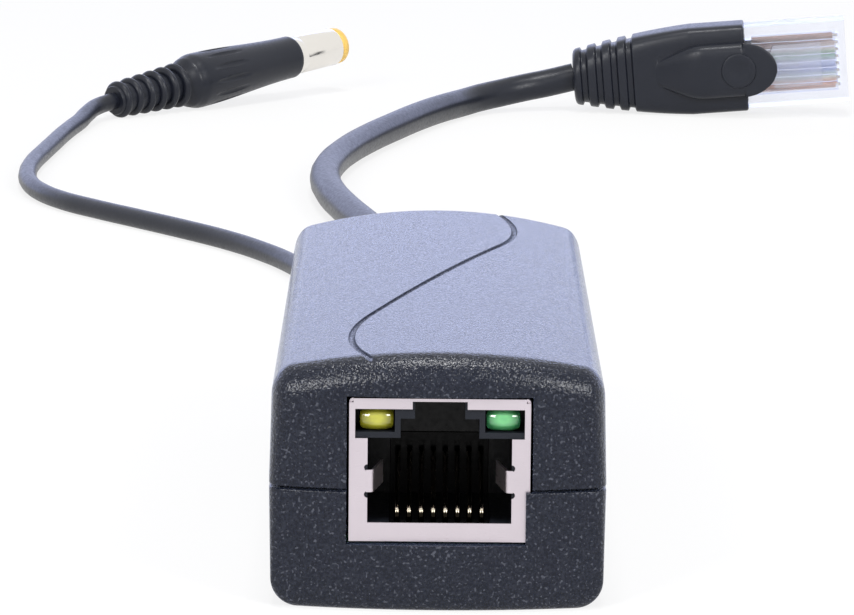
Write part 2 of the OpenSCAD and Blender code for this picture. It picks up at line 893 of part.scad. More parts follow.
// Chip part: block with two end caps that stand a little proud
module chip_part(l, w, h) {
    block(l - 0.6, w, h);
    for (side = [-1, 1])
        translate([side * (l / 2 - 0.25), 0, 0])
            block(0.5, w + 0.04, h + 0.02);
}

// Place on the board's lower face
module under_board(x, y) {
    translate([x, y, board_top - board_t])
        rotate([180, 0, 0])
            children();
}

module chip_capacitors() {
    color("burlywood")
    for (i = [0 : 2], side = [-1, 1])
        under_board(side * 3, row_y[1] + i * 3)
            chip_part(2, 1.25, 0.9);
}

module chip_resistors() {
    color("black")
    for (i = [0 : 3], side = [-1, 1])
        under_board(side * 2.4, row_y[0] - 4 + i * 2.2)
            chip_part(1.6, 0.8, 0.5);
}

// Wire from a sleeve's inner face back over the board, bent down to its solder pad
module inner_wire(x, z, y_pad, d) {
    bend = 1.1;
    translate([x, y_pad, board_top])
        cylinder(d = d, h = z - board_top - bend, $fn = 32);
    translate([x, y_pad + bend, z - bend])
        rotate([90, 0, -90])
            rotate_extrude(angle = 90)
                translate([bend, 0])
                    circle(d = d, $fn = 32);
    translate([x, y_pad + bend, z])
        rotate([-90, 0, 0])
            cylinder(d = d, h = flange_y - flange_t - y_pad - bend, $fn = 32);
}

module network_wires() {
    color("orange")
    for (i = [-1.5 : 1.5], row = [0, 1])
        inner_wire(net_x + 0.92 * i, split_z + (row - 0.5) * 0.92, pad_y - 1.2 * row, 0.86);
}

module dc_wires() {
    color("red")
    for (side = [-1, 1])
        inner_wire(-dc_x + side * 0.55, split_z, pad_y, 1);
}

// Moulded sleeve of a cord: flange inside the case, neck in the two half holes, ringed taper outside
module sleeve(x, d) {
    neck = d / 2 + sleeve_t;
    start = flange_y - flange_t;
    l = exit_y - start;
    translate([x, start, split_z])
        rotate([-90, 0, 0])
            rotate_extrude()
                difference() {
                    polygon([[0, 0], [neck + 0.9, 0], [neck + 0.9, flange_t], [neck, flange_t],
                        [neck, case_l / 2 + 1 - start], [d / 2 + 0.35, l], [0, l]]);
                    for (i = [0 : 2])
                        translate([neck + 0.35 - i * 0.17, case_l / 2 + 2.4 - start + i * 1.6])
                            circle(0.55, $fn = 32);
                }
}

module network_grommet() {
    color("black")
        sleeve(net_x, net_d);
}

module dc_grommet() {
    color("black")
        sleeve(-dc_x, dc_d);
}

module network_cable() {
    color("black")
        tube(net_route, net_r, 12, [0, 1, 0], axis_of(boot_tilt, boot_heading));
}

module dc_cord() {
    color("black")
        tube(dc_route, dc_r, 8, [0, 1, 0], axis_of(dc_tilt, dc_heading));
}

// Frame of the network plug: origin at the boot's cable end, +X towards the tip
module in_net_frame() {
    translate(boot_at)
        rotate([boot_roll, -boot_tilt, boot_heading])
            children();
}

plug_rear = boot_l - boot_cover;
boot_w = plug_w + 2 * boot_wall;
boot_low = plug_h / 2 + boot_wall;
boot_high = boot_low + 0.8;
stub_w = 7.6;
stub_h = 4.4;
stub_l = 8;

// Form of the boot, set in by the given amount: round at the cable, square with round corners at the plug
module boot_form(inset) {
    r = 1.2;
    hull() {
        translate([inset, 0, 0])
            rotate([0, 90, 0])
                cylinder(d = boot_d - 2 * inset, h = tiny, $fn = 32);
        for (side = [-1, 1], end = [[-boot_low, 1], [boot_high, -1]], in = [0, 0.3])
            translate([plug_rear - 1, side * (boot_w / 2 - r - in), end[0] + end[1] * (r + in)])
                rotate([0, 90, 0])
                    cylinder(r = r - inset, h = boot_cover + 0.6 + in, $fn = 32);
    }
}

// Hood over the latch, on its side of the boot, with a round end and a round thumb pad
module boot_hood() {
    top = boot_high + 2.1;
    hull() {
        translate([9, 0, boot_high - 1.5])
            rotate([0, 90, 0])
                cylinder(r = 1, h = 1, $fn = 32);
        for (side = [-1, 1])
            translate([boot_l - 7, side * 2.7, top - 1.2])
                rotate([0, 90, 0])
                    cylinder(r = 1.2, h = 6, $fn = 32);
        translate([boot_l + 1.6, 0, top - 0.6])
            cylinder(r = 2.9, h = 0.6, $fn = 32);
    }
    translate([boot_l - 1, 0, top - 0.5])
        cylinder(r = 2.5, h = 0.8);
}

// Boot: ringed neck, tapered body round the plug's rear, hood, and a stub in the plug
module plug_boot() {
    color("black")
    in_net_frame()
    union() {
        difference() {
            union() {
                boot_form(0.5);
                difference() {
                    boot_form(0);
                    for (i = [0 : 3])
                        translate([1.2 + i * 2.2, -8, -8])
                            cube([0.9, 16, 16]);
                }
                boot_hood();
            }
            translate([plug_rear, -plug_w / 2, -plug_h / 2])
                cube([plug_l, plug_w, plug_h]);
            translate([plug_rear + 1, -3.2, 0])
                cube([plug_l, 6.4, plug_h / 2 + 2.8]);
        }
        translate([plug_rear - tiny, -stub_w / 2, -stub_h / 2])
            cube([stub_l, stub_w, stub_h]);
    }
}

// Clear plug body: stepped block with jacket bay, wire ribbon bay, blade slots and a bent-back latch
module network_plug() {
    blade_l = 6;
    color("whitesmoke")
    in_net_frame()
    translate([plug_rear, 0, 0])
    union() {
        difference() {
            translate([0, -plug_w / 2, -plug_h / 2])
                cube([plug_l, plug_w, plug_h]);
            translate([-tiny, -stub_w / 2 - 0.05, -stub_h / 2 - 0.05])
                cube([stub_l + 1, stub_w + 0.1, stub_h + 0.1]);
            translate([stub_l, -4.3, -0.5])
                cube([plug_l - stub_l - 1.4, 8.6, 1]);
            for (x = contact_xs)
                translate([plug_l - 1 - blade_l, x - 0.22, -plug_h / 2 - through])
                    cube([blade_l, 0.44, plug_h / 2 - 0.5 + through]);
            translate([stub_l + 1.2, -3.6, plug_h / 2 - 1.2])
                cube([4, 7.2, 3]);
        }
        translate([plug_l - 1.6, 0, plug_h / 2 - 0.25])
            rotate([0, -173, 0])
                translate([0, 0, -0.9])
                    linear_extrude(0.9)
                        polygon([[0, -3.1], [9, -3.1], [9.6, -1.6], [15.5, -1.6],
                            [15.5, 1.6], [9.6, 1.6], [9, 3.1], [0, 3.1]]);
    }
}

module plug_contacts() {
    color("gold")
    in_net_frame()
    translate([plug_rear + plug_l - 6.9, 0, -plug_h / 2 + 0.4])
        for (x = contact_xs)
            translate([0, x + 0.15, 0])
                rotate([90, 0, 0])
                    linear_extrude(0.3)
                        polygon([[0, 0.3], [0.3, 0], [5.5, 0], [5.8, 0.3], [5.8, 2.3], [0, 2.3]]);
}

module plug_wires() {
    color("tomato")
    in_net_frame()
    translate([plug_rear + stub_l, 0, 0])
        for (x = contact_xs)
            translate([tiny, x, 0])
                rotate([0, 90, 0])
                    cylinder(d = 0.9, h = plug_l - stub_l - 1.8, $fn = 32);
}

// Frame of the power plug: origin at the cord's end, +Z towards the tip
module in_dc_frame() {
    translate(dc_plug_at)
        rotate([0, 90 - dc_tilt, dc_heading])
            children();
}

grip_end = relief_l + grip_l;
root_l = 5.9;
root_d = barrel_d - 0.2;
sleeve_d = barrel_d - 0.7;
lip_l = 0.6;
contact_wall = 0.3;
contact_floor = 1;

// Half outlines of the strain relief and of the grip, which narrows to a collar at the barrel
collar_d = barrel_d + 0.7;
relief_side = [[0, 0], [dc_d / 2 + 0.9, 0], [dc_d / 2 + 1.3, 0.6], [dc_d / 2 + 1.6, relief_l - 0.6]];
grip_side = [for (t = [0 : 0.125 : 1])
    [collar_d / 2 + (grip_d - collar_d) / 4 * (1 + cos(180 * t)), relief_l + 2 + t * (grip_l - 2)]];
shoulder = [[grip_d / 2 - 0.7, relief_l], [grip_d / 2 - 0.2, relief_l + 0.7]];

// Grip: ringed strain relief, handle with flutes that run out as it narrows, and a collar at the barrel
module dc_plug_body() {
    color("black")
    in_dc_frame()
    difference() {
        rotate_extrude()
            difference() {
                polygon(concat(relief_side, shoulder, grip_side, [[0, grip_end]]));
                for (i = [0 : 4])
                    translate([dc_d / 2 + 0.75 + i * 0.06, 1.6 + i * 2.2])
                        square([4, 1]);
            }
        for (a = [0 : 30 : 330])
            rotate(a)
                translate([grip_d / 2 + 0.55, 0, relief_l + 3])
                    cylinder(r = 0.8, h = grip_l * 0.5, $fn = 24);
        translate([0, 0, grip_end - root_l - 0.1])
            cylinder(d = root_d + 0.04, h = root_l + through);
    }
}

module dc_plug_barrel() {
    color("silver")
    in_dc_frame()
    translate([0, 0, grip_end])
        difference() {
            union() {
                cylinder(d = barrel_d, h = barrel_l);
                translate([0, 0, -root_l])
                    cylinder(d = root_d, h = root_l + tiny);
            }
            translate([0, 0, -root_l - through])
                cylinder(d = sleeve_d, h = barrel_l + root_l + 2 * through);
        }
}

module dc_plug_insulator() {
    color("orange")
    in_dc_frame()
    translate([0, 0, grip_end - root_l])
        difference() {
            union() {
                cylinder(d = sleeve_d - 0.04, h = root_l + barrel_l);
                translate([0, 0, root_l + barrel_l])
                    cylinder(d1 = barrel_d - 0.1, d2 = barrel_d - 0.7, h = lip_l);
            }
            translate([0, 0, -through])
                cylinder(d = pin_hole_d + 2 * contact_wall + 0.04,
                    h = root_l + barrel_l + lip_l + 2 * through);
        }
}

module dc_plug_contact() {
    color("silver")
    in_dc_frame()
    translate([0, 0, grip_end - root_l])
        difference() {
            cylinder(d = pin_hole_d + 2 * contact_wall, h = root_l + barrel_l);
            translate([0, 0, contact_floor])
                cylinder(d = pin_hole_d, h = root_l + barrel_l);
        }
}

top_shell();
bottom_shell();
jack_shield();
jack_housing();
contact_carrier();
jack_contacts();
yellow_led();
green_led();
circuit_board();
lan_transformer();
bridge_rectifiers();
poe_controller();
input_capacitor();
mosfet();
safety_capacitor();
power_transformer_core();
power_transformer_bobbin();
power_transformer_winding();
optocoupler();
output_capacitor();
output_choke();
choke_winding();
schottky_diode();
chip_capacitors();
chip_resistors();
network_wires();
dc_wires();
network_grommet();
network_cable();
plug_boot();
network_plug();
plug_contacts();
plug_wires();
dc_grommet();
dc_cord();
dc_plug_body();
dc_plug_barrel();
dc_plug_insulator();
dc_plug_contact();
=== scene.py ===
from math import asin, cos, pi, radians, sin, sqrt

import bmesh
import bpy
from mathutils import Matrix, Vector


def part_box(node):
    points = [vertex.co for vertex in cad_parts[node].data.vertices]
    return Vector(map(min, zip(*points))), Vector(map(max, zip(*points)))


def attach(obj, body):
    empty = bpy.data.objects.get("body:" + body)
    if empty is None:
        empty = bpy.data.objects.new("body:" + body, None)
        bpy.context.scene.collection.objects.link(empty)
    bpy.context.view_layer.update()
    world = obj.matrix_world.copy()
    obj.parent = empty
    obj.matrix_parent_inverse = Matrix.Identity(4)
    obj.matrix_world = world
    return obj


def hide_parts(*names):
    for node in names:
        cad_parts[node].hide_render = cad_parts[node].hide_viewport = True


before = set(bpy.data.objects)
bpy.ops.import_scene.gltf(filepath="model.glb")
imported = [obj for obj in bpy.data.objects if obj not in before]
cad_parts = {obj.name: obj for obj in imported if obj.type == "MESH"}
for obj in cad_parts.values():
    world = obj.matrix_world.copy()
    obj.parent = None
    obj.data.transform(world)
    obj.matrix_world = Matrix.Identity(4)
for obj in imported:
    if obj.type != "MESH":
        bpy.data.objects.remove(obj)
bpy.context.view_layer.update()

# Lower half of the case.
# A tray moulded in dark navy ABS, with bowed ends, leaning sides and a rounded foot. The mould is spark
# eroded, which leaves a fine grain; posts carry the board, ribs centre it, and a rebate takes the upper half.
mm = 0.001
case_l, case_w, case_h = 83, 28.4, 21.8
split_z, seam = 10.2, 0.22
wall, draft = 1.8, 0.15
bow_r, crown_r, corner_r = 55, 58, 1.5
foot_r, toe_r = 2.4, 0.9
lip_r = 0.14
tongue_h, tongue_gap = 1, 0.06
board_top, board_t, board_gap = 5.9, 1.6, 0.4
shield_w, shield_h, shield_l = 15.2, 12.2, 21.3
jack_x, jack_gap, cover_w = 0.15, 0.22, 0.35
face_y = 1 - case_l / 2
sleeves = ((6, 4), (-7, 2.4))


class Socket:
    """An output of a node, on which sums can be written; each sum adds a Math node."""

    def __init__(self, recipe, end):
        self.recipe, self.end = recipe, end

    def sum(self, how, first, second):
        return self.recipe.node("ShaderNodeMath", {"operation": how}, {0: first, 1: second})

    def __add__(self, other):
        return self.sum("ADD", self, other)

    def __radd__(self, other):
        return self.sum("ADD", other, self)

    def __sub__(self, other):
        return self.sum("SUBTRACT", self, other)

    def __rsub__(self, other):
        return self.sum("SUBTRACT", other, self)

    def __mul__(self, other):
        return self.sum("MULTIPLY", self, other)

    def __rmul__(self, other):
        return self.sum("MULTIPLY", other, self)

    def __truediv__(self, other):
        return self.sum("DIVIDE", self, other)

    def __rtruediv__(self, other):
        return self.sum("DIVIDE", other, self)

    def __gt__(self, other):
        return self.sum("GREATER_THAN", self, other)

    def __lt__(self, other):
        return self.sum("LESS_THAN", self, other)


class Recipe:
    """A tree of nodes that grows line by line."""

    def __init__(self, tree):
        self.tree = tree

    def link(self, end, value):
        if isinstance(value, Socket):
            self.tree.links.new(value.end, end)
        else:
            end.default_value = value

    def node(self, kind, settings, inputs, out=0):
        made = self.tree.nodes.new(kind)
        for key, value in settings.items():
            if key == "stops":
                ramp = made.color_ramp
                for at, colour in value[2:]:
                    ramp.elements.new(at)
                for stop, (at, colour) in zip(ramp.elements, value):
                    stop.position, stop.color = at, (*colour, 1)
            else:
                setattr(made, key, value)
        for name, value in inputs.items():
            self.link(made.inputs[name], value)
        return Socket(self, made.outputs[out])


class Finish(Recipe):
    """A material: its fixed values, and the nodes that vary its colour, gloss and grain."""

    def __init__(self, name, colour, roughness, fixed={}):
        self.material = bpy.data.materials.new(name)
        self.material.use_nodes = True
        super().__init__(self.material.node_tree)
        self.shader = self.tree.nodes["Principled BSDF"]
        self.give("Base Color", (*colour, 1))
        self.give("Roughness", roughness)
        for name, value in fixed.items():
            self.give(name, value)
        self.place = self.node("ShaderNodeTexCoord", {}, {}, "Object")

    def give(self, name, value):
        self.link(self.shader.inputs[name], value)

    def mix(self, amount, first, second):
        colours = [c if isinstance(c, Socket) else (*c, 1) for c in (first, second)]
        return self.node("ShaderNodeMix", {"data_type": "RGBA"}, {0: amount, 6: colours[0], 7: colours[1]}, 2)

    def grain(self, size, detail=2.0, place=None):
        return self.node("ShaderNodeTexNoise", {}, {"Vector": place or self.place, "Scale": 1 / size, "Detail": detail})

    def stretch(self, x, y, z):
        return self.node("ShaderNodeMapping", {}, {"Vector": self.place, "Scale": (x, y, z)})

    def within(self, value, low, high, start=0.0, end=1.0):
        return self.node("ShaderNodeMapRange", {}, {"Value": value, 1: low, 2: high, 3: start, 4: end})

    def relief(self, height, depth):
        self.give("Normal", self.node("ShaderNodeBump", {}, {"Height": height, "Distance": depth}))


def drop(radius, x):
    return radius - sqrt(radius * radius - x * x)


def ceiling(x):
    return case_h - crown_r + sqrt((crown_r - wall) ** 2 - x * x)


def body(name, points, faces):
    """A mesh from points in millimetres, with its doubles merged and its faces outwards."""
    mesh = bpy.data.meshes.new(name)
    mesh.from_pydata([Vector(p) * mm for p in points], [], faces)
    work = bmesh.new()
    work.from_mesh(mesh)
    bmesh.ops.remove_doubles(work, verts=work.verts, dist=1e-7)
    bmesh.ops.recalc_face_normals(work, faces=work.faces)
    work.to_mesh(mesh)
    work.free()
    made = bpy.data.objects.new(name, mesh)
    bpy.context.scene.collection.objects.link(made)
    return made


def loft(name, rings):
    """A closed skin over rings of equally many points."""
    n, last = len(rings[0]), len(rings) - 1
    faces = [(r * n + k, r * n + (k + 1) % n, (r + 1) * n + (k + 1) % n, (r + 1) * n + k)
             for r in range(last) for k in range(n)]
    faces += [tuple(range(n)), tuple(last * n + k for k in range(n))]
    return body(name, [p for ring in rings for p in ring], faces)


def block(name, x0, x1, y0, y1, z0, z1):
    return loft(name, [[(x0, y0, z), (x1, y0, z), (x1, y1, z), (x0, y1, z)] for z in (z0, z1)])


def post(name, x, y, z0, z1, r0, r1):
    turns = [k * pi / 24 for k in range(48)]
    return loft(name, [[(x + r * cos(a), y + r * sin(a), z) for a in turns] for z, r in ((z0, r0), (z1, r1))])


def settle(piece):
    """Turns a piece and its modifiers into a plain mesh."""
    ready = piece.evaluated_get(bpy.context.evaluated_depsgraph_get())
    piece.data = bpy.data.meshes.new_from_object(ready)
    piece.modifiers.clear()
    return piece


def carve(piece, tool, how="DIFFERENCE"):
    cut = piece.modifiers.new("cut", "BOOLEAN")
    cut.object, cut.operation, cut.solver = tool, how, "EXACT"
    settle(piece)
    bpy.data.objects.remove(tool)


def smooth(piece, degrees=32):
    piece.data.shade_smooth()
    piece.data.set_sharp_from_angle(angle=radians(degrees))


def stations(across=44, along=96, corner=7):
    """Places round the case: part of the half width, part of the half length, and turn from end to side."""
    end = [(-1 + 2 * i / across, -1, 0) for i in range(across + 1)]
    turn = [(1, -1, k / corner) for k in range(1, corner + 1)]
    side = [(1, -1 + 2 * j / along, 1) for j in range(1, along)]
    half = end + turn + side
    return half + [(1, 1, 1 - k / corner) for k in range(corner)] + [(-u, -v, t) for u, v, t in half[:across + 1]] \
        + [(-1, 1, k / corner) for k in range(1, corner + 1)] \
        + [(-u, -v, t) for u, v, t in side] + [(-1, -1, 1 - k / corner) for k in range(corner)]


def wall_place(station, inset, rx, ry):
    """Middle of the rounding at a station, and the wall's direction there, both in plan."""
    u, v, turn = station
    x = u * (case_w / 2 - inset - rx)
    y = v * (case_l / 2 - inset - drop(bow_r - ry, x) - ry)
    angle = asin(x / (bow_r - ry))
    angle += turn * ((pi / 2 if u > 0 else -pi / 2) - angle)
    return x, y, Vector((sin(angle), cos(angle) * (1 if v > 0 else -1) * (1 - (turn == 1)), 0)).normalized()


def moulded_half(name, z_part, up, rounding, rim_z, cap_way, across=44, along=96):
    """Outer form of a half: small lip at the parting line, leaning wall, rounded rim and its cap."""
    rx, ry, rz = rounding
    rows = []
    places = stations(across, along)
    for station in places:
        xb, yb, out = wall_place(station, 0, corner_r, corner_r)
        foot = Vector((xb, yb, z_part)) + corner_r * out
        xt, yt, way = wall_place(station, draft, rx, ry)
        middle = Vector((xt, yt, rim_z(xt)))
        cap = cap_way(xt)
        column = []
        for i in range(5):
            a = i / 4 * pi / 2
            column.append(foot + lip_r * ((sin(a) - 1) * out + Vector((0, 0, up * (1 - cos(a))))))
        rim = []
        for i in range(15):
            way_here = way.slerp(cap, i / 14) if i else way
            n = Vector((rx * way_here.x, ry * way_here.y, rz * way_here.z)).normalized()
            rim.append(middle + Vector((rx * n.x, ry * n.y, rz * n.z)))
        start = column[-1]
        column += [start.lerp(rim[0], i / 9) for i in range(1, 9)] + rim
        rows.append(column)
    n, high = len(rows), len(rows[0])
    points = [p for column in rows for p in column]
    faces = [(c * high + r, ((c + 1) % n) * high + r, ((c + 1) % n) * high + r + 1, c * high + r + 1)
             for c in range(n) for r in range(high - 1)]
    faces.append(tuple(c * high for c in range(n)))
    front = [rows[i][-1] for i in range(across + 1)]
    rear = [Vector((p.x, -p.y, p.z)) for p in front]
    start = len(points)
    points += [f.lerp(r, j / along) for f, r in zip(front, rear) for j in range(along + 1)]
    faces += [(start + i * (along + 1) + j, start + (i + 1) * (along + 1) + j, start + (i + 1) * (along + 1) + j + 1,
               start + i * (along + 1) + j + 1) for i in range(across) for j in range(along)]
    return body(name, points, faces)


def hollow(name, inset, z0, z1, steps=40):
    """The case's plan, set in, from z0 up to a height that may follow the crown."""
    half, end = case_w / 2 - inset, case_l / 2 - bow_r
    rings = []
    for i in range(steps + 1):
        x = half * (2 * i / steps - 1)
        y = end + sqrt((bow_r - inset) ** 2 - x * x)
        top = z1(x) if callable(z1) else z1
        rings.append([(x, -y, z0), (x, y, z0), (x, y, top), (x, -y, top)])
    return loft(name, rings)


def cut_sleeves(piece):
    for x, d in sleeves:
        r = d / 2 + 0.9 + 0.08
        turns = [k * pi / 32 for k in range(64)]
        carve(piece, loft("hole", [[(x + r * cos(a), y, split_z + r * sin(a)) for a in turns]
                                   for y in (case_l / 2 - wall - 3, case_l / 2 + 1)]))


lower = moulded_half("case_lower", split_z, -1, (foot_r, toe_r, foot_r),
                     lambda x: foot_r, lambda x: Vector((0, 0, -1)))
carve(lower, hollow("room", wall, wall, case_h))
carve(lower, hollow("rebate", wall / 2, split_z - tongue_h, case_h))
wide = shield_w / 2 + jack_gap
carve(lower, block("port", jack_x - wide, jack_x + shield_w / 2 - cover_w, -case_l / 2 - 1,
                   face_y + wall + 2, board_top - jack_gap, case_h))
carve(lower, block("port", jack_x - wide, jack_x + wide, face_y - 0.1, face_y + wall + 2.9, board_top - jack_gap, case_h))
cut_sleeves(lower)
board_w = case_w - 2 * wall - 2 * board_gap
board_rear = case_l / 2 - wall - 4.6
board_front = -case_l / 2 + wall + drop(bow_r - wall, board_w / 2) + 0.3
for side in (-1, 1):
    for y in (board_front + 2.1, board_rear - 1.4):
        carve(lower, post("post", side * (board_w / 2 - 1.3), y, wall - 0.4, board_top - board_t, 1.4, 1.1), "UNION")
    for y in (-case_l / 4, 0, case_l / 4):
        x0, x1 = sorted((side * (case_w / 2 - wall + 0.2), side * (board_w / 2 + 0.05)))
        carve(lower, block("rib", x0, x1, y - 0.6, y + 0.6, wall - 0.4, board_top), "UNION")
smooth(lower)

case_plastic = Finish("case_plastic", (0.004, 0.006, 0.015), 0.2, {
    "Specular IOR Level": 0.32, "Sheen Weight": 0.3, "Sheen Roughness": 0.3, "Sheen Tint": (0.5, 0.62, 1.0, 1)})
coarse, fine = case_plastic.grain(0.00026, 1), case_plastic.grain(0.00015, 1)
pits = coarse * 0.65 + fine * 0.35
case_plastic.relief(pits, 0.0001)
case_plastic.give("Roughness", case_plastic.within(pits, 0.35, 0.65, 0.15, 0.07))
cloudy = case_plastic.grain(0.009, 3)
# Lighter base colour on the grain's peaks is a painted highlight, laid over a random cloudy tone.
painted_glint_peaks = case_plastic.within(pits, 0.42, 0.64)
skin = case_plastic.mix(cloudy, (0.001, 0.003, 0.01), (0.002, 0.004, 0.014))
skin = case_plastic.mix(painted_glint_peaks, skin, (0.014, 0.017, 0.029))
# Fine light specks in the base colour are painted glints.
painted_glint_specks = case_plastic.within(case_plastic.grain(0.00024, 0), 0.66, 0.78)
case_plastic.give("Base Color", case_plastic.mix(painted_glint_specks, skin, (0.06, 0.065, 0.085)))


def finish_case(piece, node):
    piece.data.materials.clear()
    piece.data.materials.append(case_plastic.material)
    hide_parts(node)
    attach(piece, "root")


finish_case(lower, "bottom_shell")

# Circuit board.
# Glass-fibre board with green solder mask over its copper, cut to the tray's inside and laid on four posts.
# The tracks show as paler lines under the mask.


def dress(finish, *nodes):
    """Gives CAD nodes a finish."""
    for node in nodes:
        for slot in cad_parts[node].material_slots:
            slot.material = finish.material


mask = Finish("solder_mask", (0.02, 0.2, 0.08), 0.28, {"Coat Weight": 0.3, "Coat Roughness": 0.15})
lines = mask.node("ShaderNodeTexVoronoi", {"feature": "DISTANCE_TO_EDGE"}, {"Vector": mask.place, "Scale": 420})
track = mask.within(lines, 0.04, 0.07, 1, 0)
weave = mask.grain(0.0006, 1)
mask.give("Base Color", mask.mix(track, mask.mix(weave, (0.012, 0.11, 0.045), (0.018, 0.15, 0.06)), (0.05, 0.3, 0.11)))
mask.relief(track, 0.00003)
dress(mask, "circuit_board")

# Moulded chips on the board.
# Black epoxy bodies with tinned legs, reflowed onto the board: the network transformer, the two bridge
# rectifiers, the powered-device controller, the transistor, the rectifier diode and the resistors.
epoxy = Finish("chip_epoxy", (0.018, 0.018, 0.019), 0.42)
speck = epoxy.grain(0.00008, 1)
epoxy.relief(speck, 0.000012)
epoxy.give("Roughness", epoxy.within(speck, 0.3, 0.7, 0.36, 0.5))
dress(epoxy, "lan_transformer", "bridge_rectifiers", "poe_controller", "mosfet", "schottky_diode", "chip_resistors")

white_epoxy = Finish("opto_epoxy", (0.78, 0.77, 0.72), 0.4)
speck = white_epoxy.grain(0.0001, 1)
white_epoxy.relief(speck, 0.000012)
white_epoxy.give("Base Color", white_epoxy.mix(speck, (0.74, 0.73, 0.68), (0.82, 0.81, 0.77)))
dress(white_epoxy, "optocoupler")

fired = Finish("fired_ceramic", (0.5, 0.37, 0.24), 0.45)
speck = fired.grain(0.00012, 2)
fired.give("Base Color", fired.mix(speck, (0.42, 0.3, 0.2), (0.58, 0.44, 0.3)))
fired.relief(speck, 0.00001)
dress(fired, "chip_capacitors")

# Capacitors that stand on the board.
# The two electrolytic cans have a shrunk plastic sleeve; the disc of the safety capacitor is dipped in
# blue lacquer, which runs a little way down its leads.
can_sleeve = Finish("can_sleeve", (0.02, 0.03, 0.11), 0.3, {"Coat Weight": 0.4, "Coat Roughness": 0.12})
wrap = can_sleeve.grain(0.0012, 2, can_sleeve.stretch(1, 1, 4))
can_sleeve.give("Base Color", can_sleeve.mix(wrap, (0.016, 0.024, 0.09), (0.026, 0.038, 0.13)))
can_sleeve.relief(wrap, 0.00004)
dress(can_sleeve, "input_capacitor", "output_capacitor")

lacquer = Finish("dipped_lacquer", (0.04, 0.18, 0.5), 0.25, {"Coat Weight": 0.6, "Coat Roughness": 0.1})
runs = lacquer.grain(0.0009, 2)
lacquer.give("Base Color", lacquer.mix(runs, (0.03, 0.14, 0.42), (0.05, 0.22, 0.56)))
lacquer.relief(runs, 0.00008)
dress(lacquer, "safety_capacitor")

# Power transformer and output choke.
# Two ground ferrite halves close round a moulded spool, and yellow tape covers the winding; the choke is a
# ferrite drum with enamelled copper wire round its waist.
ferrite = Finish("ferrite", (0.05, 0.05, 0.055), 0.55)
sinter = ferrite.grain(0.00012, 3)
ferrite.give("Base Color", ferrite.mix(sinter, (0.035, 0.035, 0.04), (0.075, 0.075, 0.08)))
ferrite.relief(sinter, 0.00003)
dress(ferrite, "power_transformer_core", "output_choke")

spool = Finish("spool_plastic", (0.1, 0.06, 0.035), 0.4)
speck = spool.grain(0.0002, 2)
spool.give("Base Color", spool.mix(speck, (0.08, 0.045, 0.026), (0.13, 0.08, 0.046)))
spool.relief(speck, 0.00001)
dress(spool, "power_transformer_bobbin")

tape = Finish("winding_tape", (0.75, 0.55, 0.08), 0.3, {"Coat Weight": 0.3})
turn = tape.node("ShaderNodeTexWave", {"bands_direction": "Z"}, {"Vector": tape.place, "Scale": 320, "Distortion": 0.4})
tape.give("Base Color", tape.mix(turn, (0.62, 0.42, 0.05), (0.8, 0.6, 0.1)))
tape.relief(turn, 0.00005)
dress(tape, "power_transformer_winding")

enamel = Finish("enamelled_copper", (0.72, 0.33, 0.15), 0.25, {"Metallic": 0.8})
turn = enamel.grain(0.0003, 1)
enamel.give("Base Color", enamel.mix(turn, (0.62, 0.26, 0.11), (0.8, 0.4, 0.2)))


class Pattern(Recipe):
    """A shape made of Geometry Nodes with named sizes, in metres, which is laid out as a plain mesh."""

    def __init__(self, name, **sizes):
        super().__init__(bpy.data.node_groups.new(name, "GeometryNodeTree"))
        self.keys = {}
        self.tree.interface.new_socket("Geometry", in_out="INPUT", socket_type="NodeSocketGeometry")
        for label, value in sizes.items():
            kind = "NodeSocketInt" if isinstance(value, int) else "NodeSocketFloat"
            size = self.tree.interface.new_socket(label, in_out="INPUT", socket_type=kind)
            size.default_value = value
            self.keys[label] = size.identifier
        self.tree.interface.new_socket("Geometry", in_out="OUTPUT", socket_type="NodeSocketGeometry")
        self.given = self.tree.nodes.new("NodeGroupInput")
        self.own = self.size("Geometry")

    def size(self, label):
        return Socket(self, self.given.outputs[label])

    def at(self, x, y, z):
        return self.node("ShaderNodeCombineXYZ", {}, {0: x, 1: y, 2: z})

    def circle(self, sides, radius):
        return self.node("GeometryNodeCurvePrimitiveCircle", {}, {"Resolution": sides, "Radius": radius})

    def sweep(self, path, section):
        return self.node("GeometryNodeCurveToMesh", {}, {"Curve": path, "Profile Curve": section, "Fill Caps": True})

    def repeat(self, points, shape, scale=(1, 1, 1)):
        return self.node("GeometryNodeInstanceOnPoints", {}, {"Points": points, "Instance": shape, "Scale": scale})

    def end(self, shape, finish):
        whole = self.node("GeometryNodeRealizeInstances", {}, {"Geometry": shape})
        dressed = self.node("GeometryNodeSetMaterial", {}, {"Geometry": whole, "Material": finish.material})
        self.link(self.tree.nodes.new("NodeGroupOutput").inputs[0], dressed)

    def lay(self, name, place=Matrix(), piece=None, **sizes):
        piece = piece or body(name, [], [])
        piece.name = name
        made = piece.modifiers.new("pattern", "NODES")
        made.node_group = self.tree
        for label, value in sizes.items():
            made[self.keys[label]] = value
        settle(piece)
        piece.data.transform(place)
        smooth(piece)
        return piece


coil = Pattern("copper_coil", turns=9.0, radius=0.0018, height=0.004, wire=0.0003)
spiral = coil.node("GeometryNodeCurveSpiral", {}, {
    "Resolution": 40, "Rotations": coil.size("turns"), "Start Radius": coil.size("radius"),
    "End Radius": coil.size("radius"), "Height": coil.size("height")})
coil.end(coil.sweep(spiral, coil.circle(10, coil.size("wire"))), enamel)
low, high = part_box("choke_winding")
wire_r = 0.00031
choke = coil.lay("choke_coil", Matrix.Translation(((low[0] + high[0]) / 2, (low[1] + high[1]) / 2, low[2] + wire_r)),
                 turns=7.0, radius=(high[0] - low[0]) / 2 - wire_r, height=high[2] - low[2] - 2 * wire_r, wire=wire_r)
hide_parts("choke_winding")
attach(choke, "root")

# Network socket.
# Black moulded body with the plug's cavity, its carrier of eight gold-plated spring contacts, two lamps
# beside the latch, and a shield folded from nickel-plated sheet whose fingers bend back into the cavity.


